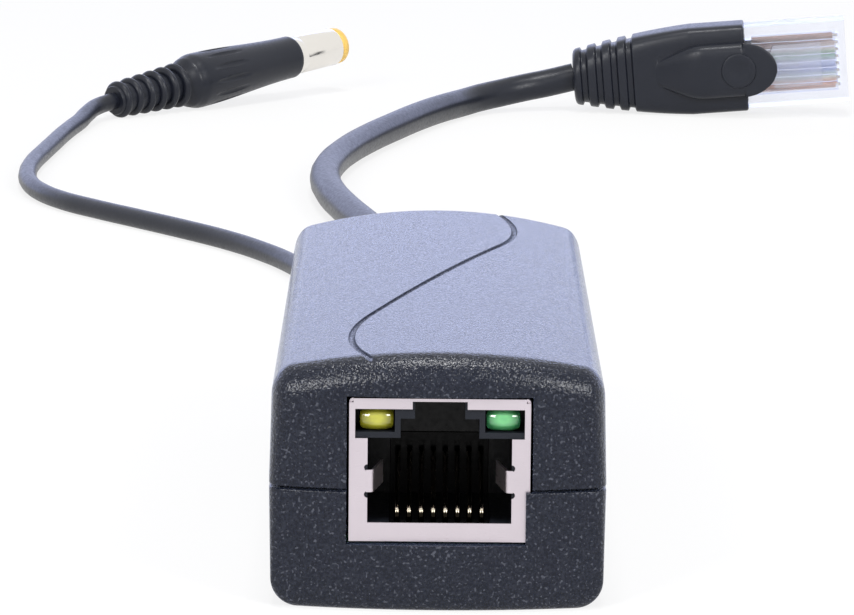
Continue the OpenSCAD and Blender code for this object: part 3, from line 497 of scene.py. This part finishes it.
def join(first, *others):
    """One piece of several closed meshes."""
    work = bmesh.new()
    for piece in (first, *others):
        work.from_mesh(piece.data)
    work.to_mesh(first.data)
    work.free()
    for piece in others:
        bpy.data.objects.remove(piece)
    return first


def black_plastic(name, depth, gloss):
    """Glass-filled nylon in a given tone and gloss; parts that sit deeper in the socket get darker, duller copies,
    which is painted shade.
    """
    made = Finish(name, (depth, depth, depth * 1.2), 0.35, {"Specular IOR Level": gloss})
    flow = made.grain(0.0005, 2)
    made.give("Roughness", made.within(flow, 0.3, 0.7, 0.28, 0.44))
    made.relief(flow, 0.00002)
    return made


housing = black_plastic("socket_plastic", 0.004, 0.2)
# The housing's base colour darkens with depth into the socket: painted shade.
painted_recess_shade = housing.within(housing.node("ShaderNodeSeparateXYZ", {}, {"Vector": housing.place}, "Y"),
                      (face_y + 0.6) * mm, (face_y + 2.5) * mm)
housing.give("Base Color", housing.mix(painted_recess_shade, (0.013, 0.015, 0.021), (0.002, 0.002, 0.003)))
dress(housing, "jack_housing")
# The contact carrier is a darker, duller copy of the same nylon: painted shade for its deeper place.
dress(black_plastic("carrier_plastic", 0.002, 0.1), "contact_carrier")


def gold_plate(name, shade_low=0.0, shade_high=0.001):
    """Thin gold over nickel, painted nearly black as shade below a height in millimetres and bright above it."""
    made = Finish(name, (0.9, 0.82, 0.66), 0.12, {"Metallic": 1.0})
    rub = made.grain(0.0012, 1)
    made.give("Roughness", made.within(rub, 0.3, 0.7, 0.08, 0.16))
    height = made.node("ShaderNodeSeparateXYZ", {}, {"Vector": made.place}, "Z")
    # Below the given height the plating is painted nearly black as shade.
    painted_shade = made.within(height, shade_low * mm, shade_high * mm, 1.0, 0.0)
    bright = made.mix(rub, (0.68, 0.6, 0.45), (0.84, 0.77, 0.63))
    made.give("Base Color", made.mix(painted_shade, bright, (0.012, 0.01, 0.007)))
    return made


plating = gold_plate("contact_plating")
dress(plating, "plug_contacts")
# The springs' lower folds are painted nearly black as shade; only their tops stay bright.
spring_plating = gold_plate("spring_plating", board_top + 2.2, board_top + 2.45)

pitch, contact_w, contact_t, contact_bend = 1.02, 0.4, 0.25, 0.75
contact_run, contact_rise, arm_l = 0.85, radians(14), 11.2


def contact(tail):
    """One round-edged contact: its tail through the board, its run, its fold behind the face and its arm."""
    half, fold = contact_t / 2, contact_bend + contact_t / 2
    centre = Vector((0, 2.3, contact_run + contact_t + contact_bend))
    path = [Vector((0, tail - half, 0)), Vector((0, tail - half, contact_run - 0.1))]
    path += [Vector((0, tail - 0.3 - half, contact_run + half)) + 0.3 * Vector((0, cos(a), sin(a) - 0.6)) for a in (0.5, 1, 1.4)]
    path += [centre + fold * Vector((0, -sin(a), -cos(a))) for a in [(pi - contact_rise) * k / 26 for k in range(27)]]
    arm = Vector((0, cos(contact_rise), sin(contact_rise)))
    path += [path[-1] + arm * arm_l * k / 6 for k in range(1, 7)]
    rings = []
    for i, spot in enumerate(path):
        along = (path[min(i + 1, len(path) - 1)] - path[max(i - 1, 0)]).normalized()
        up = Vector((1, 0, 0)).cross(along)
        rings.append([spot + contact_w / 2 * cos(a) * Vector((1, 0, 0)) + half * sin(a) * up
                      for a in [2 * pi * k / 20 for k in range(20)]])
    return loft("contact", rings)


comb = Pattern("row_of_contacts", count=4, pitch=2 * pitch * mm)
spots = comb.node("GeometryNodeMeshLine", {}, {"Count": comb.size("count"), "Offset": comb.at(comb.size("pitch"), 0, 0)})
comb.end(comb.repeat(spots, comb.own), spring_plating)
contacts = [comb.lay("contacts", Matrix.Translation(Vector((jack_x + pitch * (i - 3.5), face_y, board_top)) * mm),
                     contact(shield_l - tail)) for i, tail in ((0, 4.3), (1, 1.9))]
contacts = join(*contacts)
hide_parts("jack_contacts")
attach(contacts, "root")

sheet = Finish("shield_sheet", (0.66, 0.6, 0.64), 0.3, {"Metallic": 1.0})
rolled = sheet.grain(0.0012, 4, sheet.stretch(1, 1, 14))
cloud = sheet.grain(0.004, 2)
sheet.give("Roughness", sheet.within(rolled, 0.25, 0.75, 0.26, 0.42))
sheet.give("Base Color", sheet.mix(cloud, (0.62, 0.56, 0.6), (0.7, 0.63, 0.68)))
sheet.relief(rolled, 0.00001)
dress(sheet, "jack_shield")


led_x, led_w, led_h = 5.3, 2.8, 1.85


def lens(name, side, painted_rim_shade, heart, node):
    """A clear tinted lamp lens with a pillow-shaped front; its colour darkens towards its rim and bottom as painted
    shade.
    """
    x, y, z = jack_x + side * led_x, face_y + 0.36, board_top + 1.6 + 7.2 + 0.6 + led_h / 2
    rings = []
    for s in [1.0] + [k / 16 for k in range(16, 0, -1)]:
        ring = []
        for a in [2 * pi * k / 64 for k in range(64)]:
            u, v = [s * abs(part) ** 0.4 * (1 if part > 0 else -1) for part in (cos(a), sin(a))]
            ring.append((x + led_w / 2 * u, y + 0.36 * u * u + 0.5 * v * v if rings else y + shield_l - 3.3, z + led_h / 2 * v))
        rings.append(ring)
    piece = loft(name, rings)
    smooth(piece, 50)
    made = Finish(name, heart, 0.08, {"Coat Weight": 1.0, "Coat Roughness": 0.05, "Subsurface Weight": 0.3,
                                      "Subsurface Radius": (0.0006, 0.0006, 0.0002), "Subsurface Scale": 1.0})
    # The colour darkens away from a centre set a little high, so towards the rim and the bottom: painted shade, with a
    # random swirl of tint.
    middle = made.node("ShaderNodeVectorMath", {"operation": "DISTANCE"}, {0: made.place, 1: (x * mm, y * mm, (z + 0.15) * mm)}, "Value")
    shade_and_swirl = made.within(middle, 0.0004, 0.0013) + made.grain(0.0016, 2) * 0.5 - 0.25
    made.give("Base Color", made.mix(shade_and_swirl, heart, painted_rim_shade))
    made.relief(made.grain(0.0016, 2), 0.00003)
    piece.data.materials.append(made.material)
    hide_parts(node)
    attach(piece, "root")


lens("yellow_lens", -1, (0.18, 0.17, 0.01), (0.44, 0.43, 0.04), "yellow_led")
lens("green_lens", 1, (0.03, 0.17, 0.06), (0.15, 0.52, 0.2), "green_led")

# Wires inside the case.
# Stripped conductors of both cords, bent down to their pads on the board: eight fine ones in orange coats
# from the network cable, and two thicker red ones from the power cord.
coat = Finish("wire_coat", (0.72, 0.3, 0.08), 0.35)
wax = coat.grain(0.0008, 2)
coat.give("Base Color", coat.mix(wax, (0.64, 0.25, 0.06), (0.8, 0.38, 0.12)))
dress(coat, "network_wires")
power_coat = Finish("power_wire_coat", (0.6, 0.03, 0.03), 0.35)
wax = power_coat.grain(0.0008, 2)
power_coat.give("Base Color", power_coat.mix(wax, (0.5, 0.02, 0.02), (0.7, 0.05, 0.04)))
dress(power_coat, "dc_wires")

# Sleeves where the cords leave the case.
# Soft black vinyl moulded onto each cord, with a flange inside the wall and three rings on its taper; both
# halves of the case grip its neck.
jacket = Finish("cord_jacket", (0.006, 0.007, 0.012), 0.35, {"Specular IOR Level": 0.32})
slip = jacket.grain(0.0004, 2)
jacket.give("Roughness", jacket.within(slip, 0.3, 0.7, 0.28, 0.42))
jacket.give("Base Color", jacket.mix(jacket.grain(0.006, 2), (0.008, 0.01, 0.017), (0.013, 0.015, 0.023)))
jacket.relief(slip, 0.000004)
rings = Pattern("ring_ribs", count=3, first=0.0, step=0.0016, radius=0.003, shrink=0.00017, rib=0.0004)
along = rings.node("GeometryNodeMeshLine", {}, {
    "Count": rings.size("count"), "Start Location": rings.at(0, 0, rings.size("first")),
    "Offset": rings.at(0, 0, rings.size("step"))})
hoop = rings.sweep(rings.circle(56, rings.size("radius")), rings.circle(12, rings.size("rib")))
less = 1 - rings.node("GeometryNodeInputIndex", {}, {}) * rings.size("shrink") / rings.size("radius")
rings.end(rings.repeat(along, hoop, rings.at(less, less, 1)), jacket)


def turned(name, outline, place, sides=64):
    """A piece turned round its axis from pairs of radius and distance along, in millimetres."""
    turns = [2 * pi * k / sides for k in range(sides)]
    made = loft(name, [[place @ Vector((r * cos(a), r * sin(a), z)) for a in turns] for r, z in outline])
    smooth(made)
    made.data.materials.append(jacket.material)
    return made


def metres(place):
    """The same place for a mesh in metres, from one in millimetres."""
    return Matrix.Translation(place.translation * mm) @ place.to_3x3().to_4x4()


sleeve_end = 48.5
for (x, d), node in zip(sleeves, ("network_grommet", "dc_grommet")):
    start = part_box(node)[0][1] / mm
    neck, l, out = d / 2 + 0.9, sleeve_end - start, case_l / 2 - start
    place = Matrix.Translation((x, start, split_z)) @ Matrix.Rotation(-pi / 2, 4, "X")
    core = turned(node + "_core", [(neck + 0.75, 0), (neck + 0.9, 0.15), (neck + 0.9, 1.45), (neck + 0.75, 1.6), (neck, 1.6),
                                   (neck, out + 1), (neck - 0.25, out + 1.3), (d / 2 + 0.3, l - 0.2), (d / 2 + 0.1, l)], place)
    ribs = rings.lay("ribs", metres(place), count=3, first=(out + 1.9) * mm, step=0.0016,
                     radius=(neck - 0.38) * mm, shrink=0.00014, rib=0.0004)
    sleeve = join(core, ribs)
    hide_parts(node)
    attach(sleeve, "root")

# Network cable.
# Round vinyl jacket over four twisted pairs. It leaves its sleeve straight, falls to the table and runs in
# one long curve to the plug's boot, as in the photograph.
net_d = 4
net_route = [(6, 48.5, 10.2), (6, 56, 10.1), (6, 66, 8.8), (5.5, 77, 6.4), (4.5, 88, 4), (3, 99, 2.4), (1.2, 110, 2),
             (-1, 121, 2), (-3.3, 132, 2), (-5.8, 143, 2), (-8.4, 155, 2), (-11, 168, 2), (-13.1, 181, 2),
             (-14.1, 194, 2), (-13.6, 206, 2), (-11.8, 218.5, 2), (-9, 231, 2), (-5.6, 243, 2), (-1.5, 256, 2),
             (1.4, 263.4, 2), (4.2, 269.3, 2), (6.6, 272.4, 2.3), (9.6, 274.8, 2.7), (13, 276.3, 3.3), (16.7, 277, 4),
             (20.4, 277.1, 4.9)]


def length_of(route):
    return sum((Vector(b) - Vector(a)).length for a, b in zip(route, route[1:])) * mm


def lay_cord(name, route, d, finish):
    """A round cord on one smooth curve through the route's points."""
    line = bpy.data.curves.new(name, "CURVE")
    line.dimensions = "3D"
    line.bevel_depth = d / 2 * mm
    line.bevel_resolution = 7
    line.resolution_u = 10
    line.use_fill_caps = True
    spline = line.splines.new("BEZIER")
    spline.bezier_points.add(len(route) - 1)
    for knot, place in zip(spline.bezier_points, route):
        knot.co = Vector(place) * mm
        knot.handle_left_type = knot.handle_right_type = "AUTO"
    line.materials.append(finish.material)
    made = bpy.data.objects.new(name, line)
    bpy.context.scene.collection.objects.link(made)
    return made


cable = lay_cord("network_lead", net_route, net_d, jacket)
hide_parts("network_cable")
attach(cable, "root")

# Network plug with its boot.
# Clear polycarbonate plug crimped on the cable, eight gilt blades and the eight coloured cores behind them.
# A black vinyl boot covers its rear, ringed where it bends and hooded over the latch.
clear = Finish("clear_plastic", (0.9, 0.92, 1.0), 0.06, {"Transmission Weight": 0.88, "IOR": 1.55})
ripple = clear.grain(0.003, 2)
clear.give("Roughness", clear.within(ripple, 0.3, 0.7, 0.03, 0.09))
clear.relief(ripple, 0.00004)
dress(clear, "network_plug")
boot_at = Matrix.Translation(net_route[-1]) @ Matrix.Rotation(radians(-4), 4, "Z") \
    @ Matrix.Rotation(radians(-5), 4, "Y") @ Matrix.Rotation(pi / 2, 4, "X")
plug_rear, plug_w, plug_h, plug_l = 18, 11.68, 6.6, 21.5
boot_l, boot_w, boot_low, boot_high, boot_d = 25, 12.68, 3.8, 4.6, 8

cores = Finish("core_coats", (0.85, 0.25, 0.15), 0.4)
to_side = boot_at.to_3x3() @ Vector((0, 1, 0))
across = cores.node("ShaderNodeVectorMath", {"operation": "DOT_PRODUCT"}, {0: cores.place, 1: tuple(to_side)}, "Value")
middle = to_side.dot(boot_at.translation) * mm
pick = cores.within(across, middle - 0.00408, middle + 0.00408)
shades = [(0.9, 0.62, 0.5), (0.85, 0.3, 0.1), (0.72, 0.85, 0.72), (0.16, 0.26, 0.7), (0.68, 0.74, 0.9), (0.14, 0.46, 0.2),
          (0.8, 0.66, 0.58), (0.36, 0.17, 0.09)]
cores.give("Base Color", cores.node("ShaderNodeValToRGB", {"stops": [(k / 8, c) for k, c in enumerate(shades)]}, {"Fac": pick}))
row = Pattern("row_of_cores", count=8, pitch=0.00102, radius=0.00045, length=0.01)
steps = row.node("GeometryNodeMeshLine", {}, {
    "Count": row.size("count"), "Start Location": row.at(0, row.size("pitch") * -3.5, 0), "Offset": row.at(0, row.size("pitch"), 0)})
core = row.node("GeometryNodeCurvePrimitiveLine", {}, {"End": row.at(row.size("length"), 0, 0)})
row.end(row.repeat(steps, row.sweep(core, row.circle(20, row.size("radius")))), cores)
stub_l = 8
wires = row.lay("plug_cores", metres(boot_at @ Matrix.Translation((plug_rear + stub_l + 0.01, 0, 0))),
                length=(plug_l - stub_l - 1.8) * mm)
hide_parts("plug_wires")
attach(wires, "root")


def squarish(x, half_w, low, high, power, sides=72):
    """Cross-section of the boot at x: a circle at power 2, and squarer above that."""
    points = []
    for k in range(sides):
        c, s = cos(2 * pi * k / sides), sin(2 * pi * k / sides)
        y = half_w * abs(c) ** (2 / power) * (1 if c > 0 else -1)
        z = (high if s > 0 else -low) * abs(s) ** (2 / power)
        points.append(boot_at @ Vector((x, y, z)))
    return points


def ease(t):
    t = min(1, max(0, t))
    return t * t * (3 - 2 * t)


rows = []
for i in range(251):
    x = boot_l * i / 250
    s = min(1, x / (plug_rear - 1))
    s = (s + sin(pi / 2 * s)) / 2
    waist = sum(ease(2 - abs(x - 1.65 - 2.2 * k) / 0.3) for k in range(4)) * 0.5
    turn_in = max(0.6 - sqrt(max(0, 0.36 - max(0, 0.6 - x) ** 2)), 0.3 - sqrt(max(0, 0.09 - max(0, x - boot_l + 0.3) ** 2)))
    rows.append(squarish(x, boot_d / 2 + (boot_w - boot_d) / 2 * s - waist - turn_in, boot_d / 2 + (boot_low - boot_d / 2) * s - waist - turn_in,
                         boot_d / 2 + (boot_high - boot_d / 2) * s - waist - turn_in, 2 + 5 * s))
boot = loft("boot", rows)
hood_top = boot_high + 2.1
rows = []
for i in range(81):
    x = 9 + (boot_l + 4.5 - 9) * i / 80
    rise, nose = ease((x - 9) / 10), max(0, x - boot_l + 0.5) / 5
    half = (1.2 + 2.7 * rise) * sqrt(max(0.02, 1 - nose * nose))
    low_z = 2.5 if x < boot_l - 0.2 else hood_top - 0.65
    top_z = boot_high - 0.7 + (hood_top - boot_high + 0.7) * rise - 0.1 * nose
    flat = [boot_at @ Vector((x, half * abs(cos(a)) ** 0.5 * (1 if cos(a) > 0 else -1),
                              (low_z + top_z) / 2 + (top_z - low_z) / 2 * abs(sin(a)) ** 0.5 * (1 if sin(a) > 0 else -1)))
            for a in (2 * pi * k / 48 for k in range(48))]
    rows.append(flat)
carve(boot, loft("hood", rows), "UNION")
pad = [(2.2, -0.6), (2.5, -0.3), (2.5, 0.05), (2.42, 0.18), (2.2, 0.25), (1.2, 0.1), (0.3, 0.02)]
carve(boot, turned("pad", pad, boot_at @ Matrix.Translation((boot_l - 1, 0, hood_top))), "UNION")


def boot_block(x0, x1, half, z0, z1):
    tool = block("tool", x0, x1, -half, half, z0, z1)
    tool.data.transform(metres(boot_at))
    return tool


carve(boot, boot_block(plug_rear, plug_rear + plug_l, plug_w / 2, -plug_h / 2, plug_h / 2))
carve(boot, boot_block(plug_rear + 1, plug_rear + plug_l, 3.2, 0, plug_h / 2 + 2.8))
carve(boot, boot_block(plug_rear - 0.5, plug_rear + stub_l, 3.8, -2.2, 2.2), "UNION")
smooth(boot, 40)
boot.data.materials.clear()
boot.data.materials.append(jacket.material)
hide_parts("plug_boot")
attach(boot, "root")
length_of(net_route)

# Power cord.
# Thinner round vinyl cord with two conductors. It leaves the left sleeve, falls to the table, bows out to
# the left and comes back to its plug.
dc_d = 2.4
dc_route = [(-7, 48.5, 10.2), (-7, 55, 10), (-7.1, 63, 8.4), (-7.4, 71, 6), (-7.9, 79, 3.6), (-8.6, 87, 1.9),
            (-9.6, 95, 1.2), (-10.8, 104, 1.2), (-12.4, 113, 1.2), (-14.4, 122, 1.2), (-17, 131, 1.2), (-20.6, 139.5, 1.2),
            (-25, 147.5, 1.2), (-30.5, 155.5, 1.2), (-36.5, 163.5, 1.2), (-42.2, 171, 1.2), (-46.8, 177.7, 1.2),
            (-50.2, 185, 1.2), (-52.3, 193, 1.2), (-53.2, 202, 1.2), (-53.2, 211, 1.2), (-52.6, 220, 1.2),
            (-51.9, 229, 1.2), (-51.2, 238, 1.2), (-50.5, 245, 1.2), (-49.7, 251, 1.3), (-49, 256, 1.7),
            (-47.9, 260.7, 2.1), (-45.8, 264, 2.5)]
power_lead = lay_cord("power_lead", dc_route, dc_d, jacket)
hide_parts("dc_cord")
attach(power_lead, "root")

# Power plug.
# Black vinyl grip moulded round a nickel-plated sleeve; an orange plastic insulator shows at the tip, with
# the sprung inner contact inside it.
nickel = Finish("nickel_plating", (0.82, 0.79, 0.74), 0.16, {"Metallic": 1.0})
polish = nickel.grain(0.001, 3)
nickel.give("Roughness", nickel.within(polish, 0.3, 0.7, 0.1, 0.24))
dress(nickel, "dc_plug_contact")
tip = Finish("tip_plastic", (0.85, 0.55, 0.12), 0.35)
speck = tip.grain(0.0006, 2)
tip.give("Base Color", tip.mix(speck, (0.8, 0.48, 0.08), (0.9, 0.62, 0.18)))
grip_at = Matrix.Translation(dc_route[-1]) @ Matrix.Rotation(radians(46), 4, "Z") @ Matrix.Rotation(radians(84.5), 4, "Y")
relief_l, grip_l, grip_d, collar_d = 14, 21.5, 8, 6.2
outline = [(1.6, 0), (2.0, 0.06), (2.1, 0.3)]
outline += [(2.1 + 0.25 * z / relief_l, z) for z in (1, 3, 5, 7, 9, 11, 12.6)]
outline += [(2.35 + 1.3 * ease((z - 12.6) / 1.9), z) for z in (12.9, 13.2, 13.5, 13.8, 14.1, 14.3, 14.5)]
outline += [(3.65 + 0.35 * sin(pi / 2 * t), 14.5 + 1.5 * t) for t in (0.2, 0.4, 0.6, 0.8, 1)]
outline += [((collar_d + (grip_d - collar_d) * (1 + cos(pi * t)) / 2) / 2, relief_l + 2 + t * (grip_l - 2))
            for t in [k / 30 for k in range(1, 30)]]
outline += [(collar_d / 2, relief_l + grip_l - 0.3), (collar_d / 2 - 0.09, relief_l + grip_l - 0.09), (collar_d / 2 - 0.3, relief_l + grip_l)]
grip = turned("power_grip", outline, grip_at)
flutes = Pattern("flutes", count=12, radius=0.0043, width=0.0007, length=0.0055)
ring = flutes.node("GeometryNodeMeshCircle", {}, {"Vertices": flutes.size("count"), "Radius": flutes.size("radius")})
bead = flutes.node("GeometryNodeMeshUVSphere", {}, {"Segments": 20, "Rings": 16, "Radius": 1.0})
flutes.end(flutes.repeat(ring, bead, flutes.at(flutes.size("width"), flutes.size("width"), flutes.size("length"))), jacket)
carve(grip, flutes.lay("flutes", metres(grip_at @ Matrix.Translation((0, 0, relief_l + 8)))))
carve(grip, turned("seat", [(2.67, relief_l + grip_l - 6), (2.67, relief_l + grip_l + 1)], grip_at))
smooth(grip, 40)
grip = join(grip, rings.lay("grip_ribs", metres(grip_at), count=6, first=0.0011, step=0.0022, radius=0.00205, shrink=-0.00009, rib=0.0006))
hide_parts("dc_plug_body")
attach(grip, "root")
barrel_at = grip_at @ Matrix.Translation((0, 0, relief_l + grip_l))
barrel_l, barrel_r, lip_l = 9.5, 2.75, 0.6
barrel = turned("power_sleeve", [(2.6, -5.9), (2.6, 0.01), (barrel_r - 0.08, 0.01), (barrel_r, 0.09), (barrel_r, 1.2), (barrel_r - 0.05, 1.3),
                                 (barrel_r - 0.05, 1.45), (barrel_r, 1.55), (barrel_r, barrel_l - 1.15), (barrel_r - 0.04, barrel_l - 1.0),
                                 (barrel_r - 0.14, barrel_l - 0.95)], barrel_at)
carve(barrel, turned("tool", [(2.4, -7), (2.4, barrel_l)], barrel_at))
insulator = turned("power_tip", [(2.38, -5.9), (2.38, barrel_l - 0.9), (2.62, barrel_l - 0.9), (2.68, barrel_l - 0.82),
                                 (2.66, barrel_l - 0.1)] + [(2.06 + 0.6 * cos(a), barrel_l - 0.1 + 0.7 * sin(a)) for a in (0.4, 0.8, 1.2, 1.5)],
                   barrel_at)
carve(insulator, turned("tool", [(1.37, -7), (1.37, barrel_l - 0.2), (1.6, barrel_l + 0.2), (1.7, barrel_l + 1)], barrel_at))
for piece, made, node, slot in ((barrel, nickel, "dc_plug_barrel", "nickel"), (insulator, tip, "dc_plug_insulator", "tip_plastic")):
    piece.data.materials.clear()
    piece.data.materials.append(made.material)
    smooth(piece, 40)
    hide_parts(node)
    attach(piece, "root")
length_of(dc_route)

# Upper half of the case.
# Crowned lid in the same grained plastic. Its tongue drops into the lower half's rebate and snaps there,
# leaving a fine open line all round, and an S-shaped groove runs down its top.
edge_r, brow_r = 2, 2.7
groove_w = 0.6
upper = moulded_half("case_upper", split_z + seam, 1, (edge_r, brow_r, brow_r),
                     lambda x: case_h - drop(crown_r - brow_r, x) - brow_r,
                     lambda x: Vector((x, 0, sqrt((crown_r - brow_r) ** 2 - x * x))).normalized())
carve(upper, hollow("tongue", wall / 2 + tongue_gap, split_z - tongue_h, split_z + seam + wall), "UNION")
carve(upper, hollow("room", wall, split_z - tongue_h - 1, ceiling))
carve(upper, block("port", jack_x - wide, jack_x + wide, -case_l / 2 - 1, face_y + wall + 2, 0, board_top + shield_h + jack_gap))
cut_sleeves(upper)


groove = Pattern("groove_tool", straight=0.041, bend=0.033, turn=17.0, top=0.0218, crown=0.058, sides=24, size=0.0003, sink=0.00005)
line = groove.node("GeometryNodeCurvePrimitiveLine", {}, {"Start": (0, -0.046, 0), "End": (0, 0.046, 0)})
line = groove.node("GeometryNodeResampleCurve", {}, {"Curve": line, "Count": 180})
spot = groove.node("GeometryNodeInputPosition", {}, {})
run = groove.node("ShaderNodeSeparateXYZ", {}, {"Vector": spot}, "Y")


def figure(how, first, second=0.0):
    return groove.node("ShaderNodeMath", {"operation": how}, {0: first, 1: second})


far, side = figure("ABSOLUTE", run), figure("SIGN", run)
bent = figure("MAXIMUM", far - groove.size("straight") / 2, 0.0) / groove.size("bend")
x = side * groove.size("bend") * (figure("COSINE", bent) - 1)
y = side * (figure("MINIMUM", far, groove.size("straight") / 2) + groove.size("bend") * figure("SINE", bent))
turn = figure("RADIANS", groove.size("turn"))
c, s = figure("COSINE", turn), figure("SINE", turn)
x, y = x * c + y * s, y * c - x * s
crown = groove.size("crown")
z = groove.size("top") - groove.size("sink") - crown + figure("SQRT", crown * crown - x * x)
line = groove.node("GeometryNodeSetPosition", {}, {"Geometry": line, "Position": groove.at(x, y, z)})
line = groove.node("GeometryNodeSetCurveNormal", {"mode": "Z_UP"}, {"Curve": line})
groove.end(groove.sweep(line, groove.circle(groove.size("sides"), groove.size("size"))), case_plastic)
carve(upper, groove.lay("groove", sides=24, size=groove_w / 2 * mm, sink=0.00012))
carve(upper, groove.lay("groove_lips", sides=4, size=(groove_w / 2 + 0.03) * mm, sink=0.0))
carve(upper, post("post", 0, board_rear - 1.4, board_top, ceiling(0) + 0.2, 1.1, 1.3), "UNION")
for side in (-1, 1):
    x, y, l = jack_x + side * shield_w / 4, face_y + shield_l * 0.55, shield_l * 0.6
    carve(upper, block("rib", x - 0.6, x + 0.6, y - l / 2, y + l / 2, board_top + shield_h, ceiling(5) + 0.2), "UNION")
smooth(upper)
finish_case(upper, "top_shell")

# Table, light and camera.
# A pale table under the object, a white surround, two soft boxes in front, one overhead and a wide faint blue
# one behind, which the top of the case mirrors. The camera stands where the photograph was taken.
scene = bpy.context.scene
floor = body("table", [(-3000, -3000, 0), (3000, -3000, 0), (3000, 3000, 0), (-3000, 3000, 0)], [(0, 1, 2, 3)])
floor.data.polygons[0].flip() if floor.data.polygons[0].normal.z < 0 else None
paper = Finish("table_paper", (0.92, 0.92, 0.925), 0.8)
rays = {name: paper.node("ShaderNodeLightPath", {}, {}, name) for name in ("Is Camera Ray", "Is Glossy Ray", "Is Transmission Ray")}
seen = rays["Is Camera Ray"] + rays["Is Glossy Ray"] + rays["Is Transmission Ray"]
white = paper.node("ShaderNodeEmission", {}, {"Color": (1, 1, 1, 1), "Strength": 1.0})
both = paper.node("ShaderNodeMixShader", {}, {0: seen * 0.8, 1: Socket(paper, paper.shader.outputs[0]), 2: white})
paper.link(paper.tree.nodes["Material Output"].inputs["Surface"], both)
floor.data.materials.append(paper.material)

scene.world = bpy.data.worlds.new("surround")
scene.world.use_nodes = True
air = Recipe(scene.world.node_tree)
rays = {name: air.node("ShaderNodeLightPath", {}, {}, name) for name in ("Is Camera Ray", "Is Glossy Ray", "Is Transmission Ray")}
seen = rays["Is Camera Ray"] + rays["Is Glossy Ray"] + rays["Is Transmission Ray"]
back = air.tree.nodes["Background"]
air.link(back.inputs["Color"], (1, 1, 1, 1))
air.link(back.inputs["Strength"], 0.41 + 0.59 * air.node("ShaderNodeMath", {"operation": "MINIMUM"}, {0: seen, 1: 1.0}))


def soft_box(name, place, size, power, colour=(1, 1, 1)):
    lamp = bpy.data.lights.new(name, "AREA")
    lamp.shape, lamp.size, lamp.size_y, lamp.energy = "RECTANGLE", size[0], size[1], power
    lamp.color = colour
    made = bpy.data.objects.new(name, lamp)
    made.visible_camera = False
    made.location = place
    made.rotation_euler = (Vector((0, 0, 0.01)) - Vector(place)).to_track_quat("-Z", "Y").to_euler()
    scene.collection.objects.link(made)


soft_box("box_left", (-0.5, -0.7, 0.54), (0.24, 0.4), 4.5)
soft_box("box_right", (0.55, -0.62, 0.52), (0.24, 0.4), 4.1)
soft_box("box_top", (0, -0.05, 1.0), (0.25, 0.25), 4.6)
soft_box("box_back", (0, 1.3, 0.33), (2.6, 0.6), 5, (0.32, 0.43, 1.0))

eye = bpy.data.cameras.new("camera")
eye.lens, eye.sensor_width, eye.clip_start = 214.8, 36, 0.01
camera = bpy.data.objects.new("camera", eye)
camera.location = (-0.00146, -0.4585, 0.0985)
camera.rotation_euler = (Matrix.Rotation(radians(-0.0587), 4, "Z") @ Matrix.Rotation(radians(90 - 9.86), 4, "X")
                         @ Matrix.Rotation(0.009, 4, "Z")).to_euler()
scene.collection.objects.link(camera)
scene.camera = camera
scene.view_settings.view_transform = "Standard"
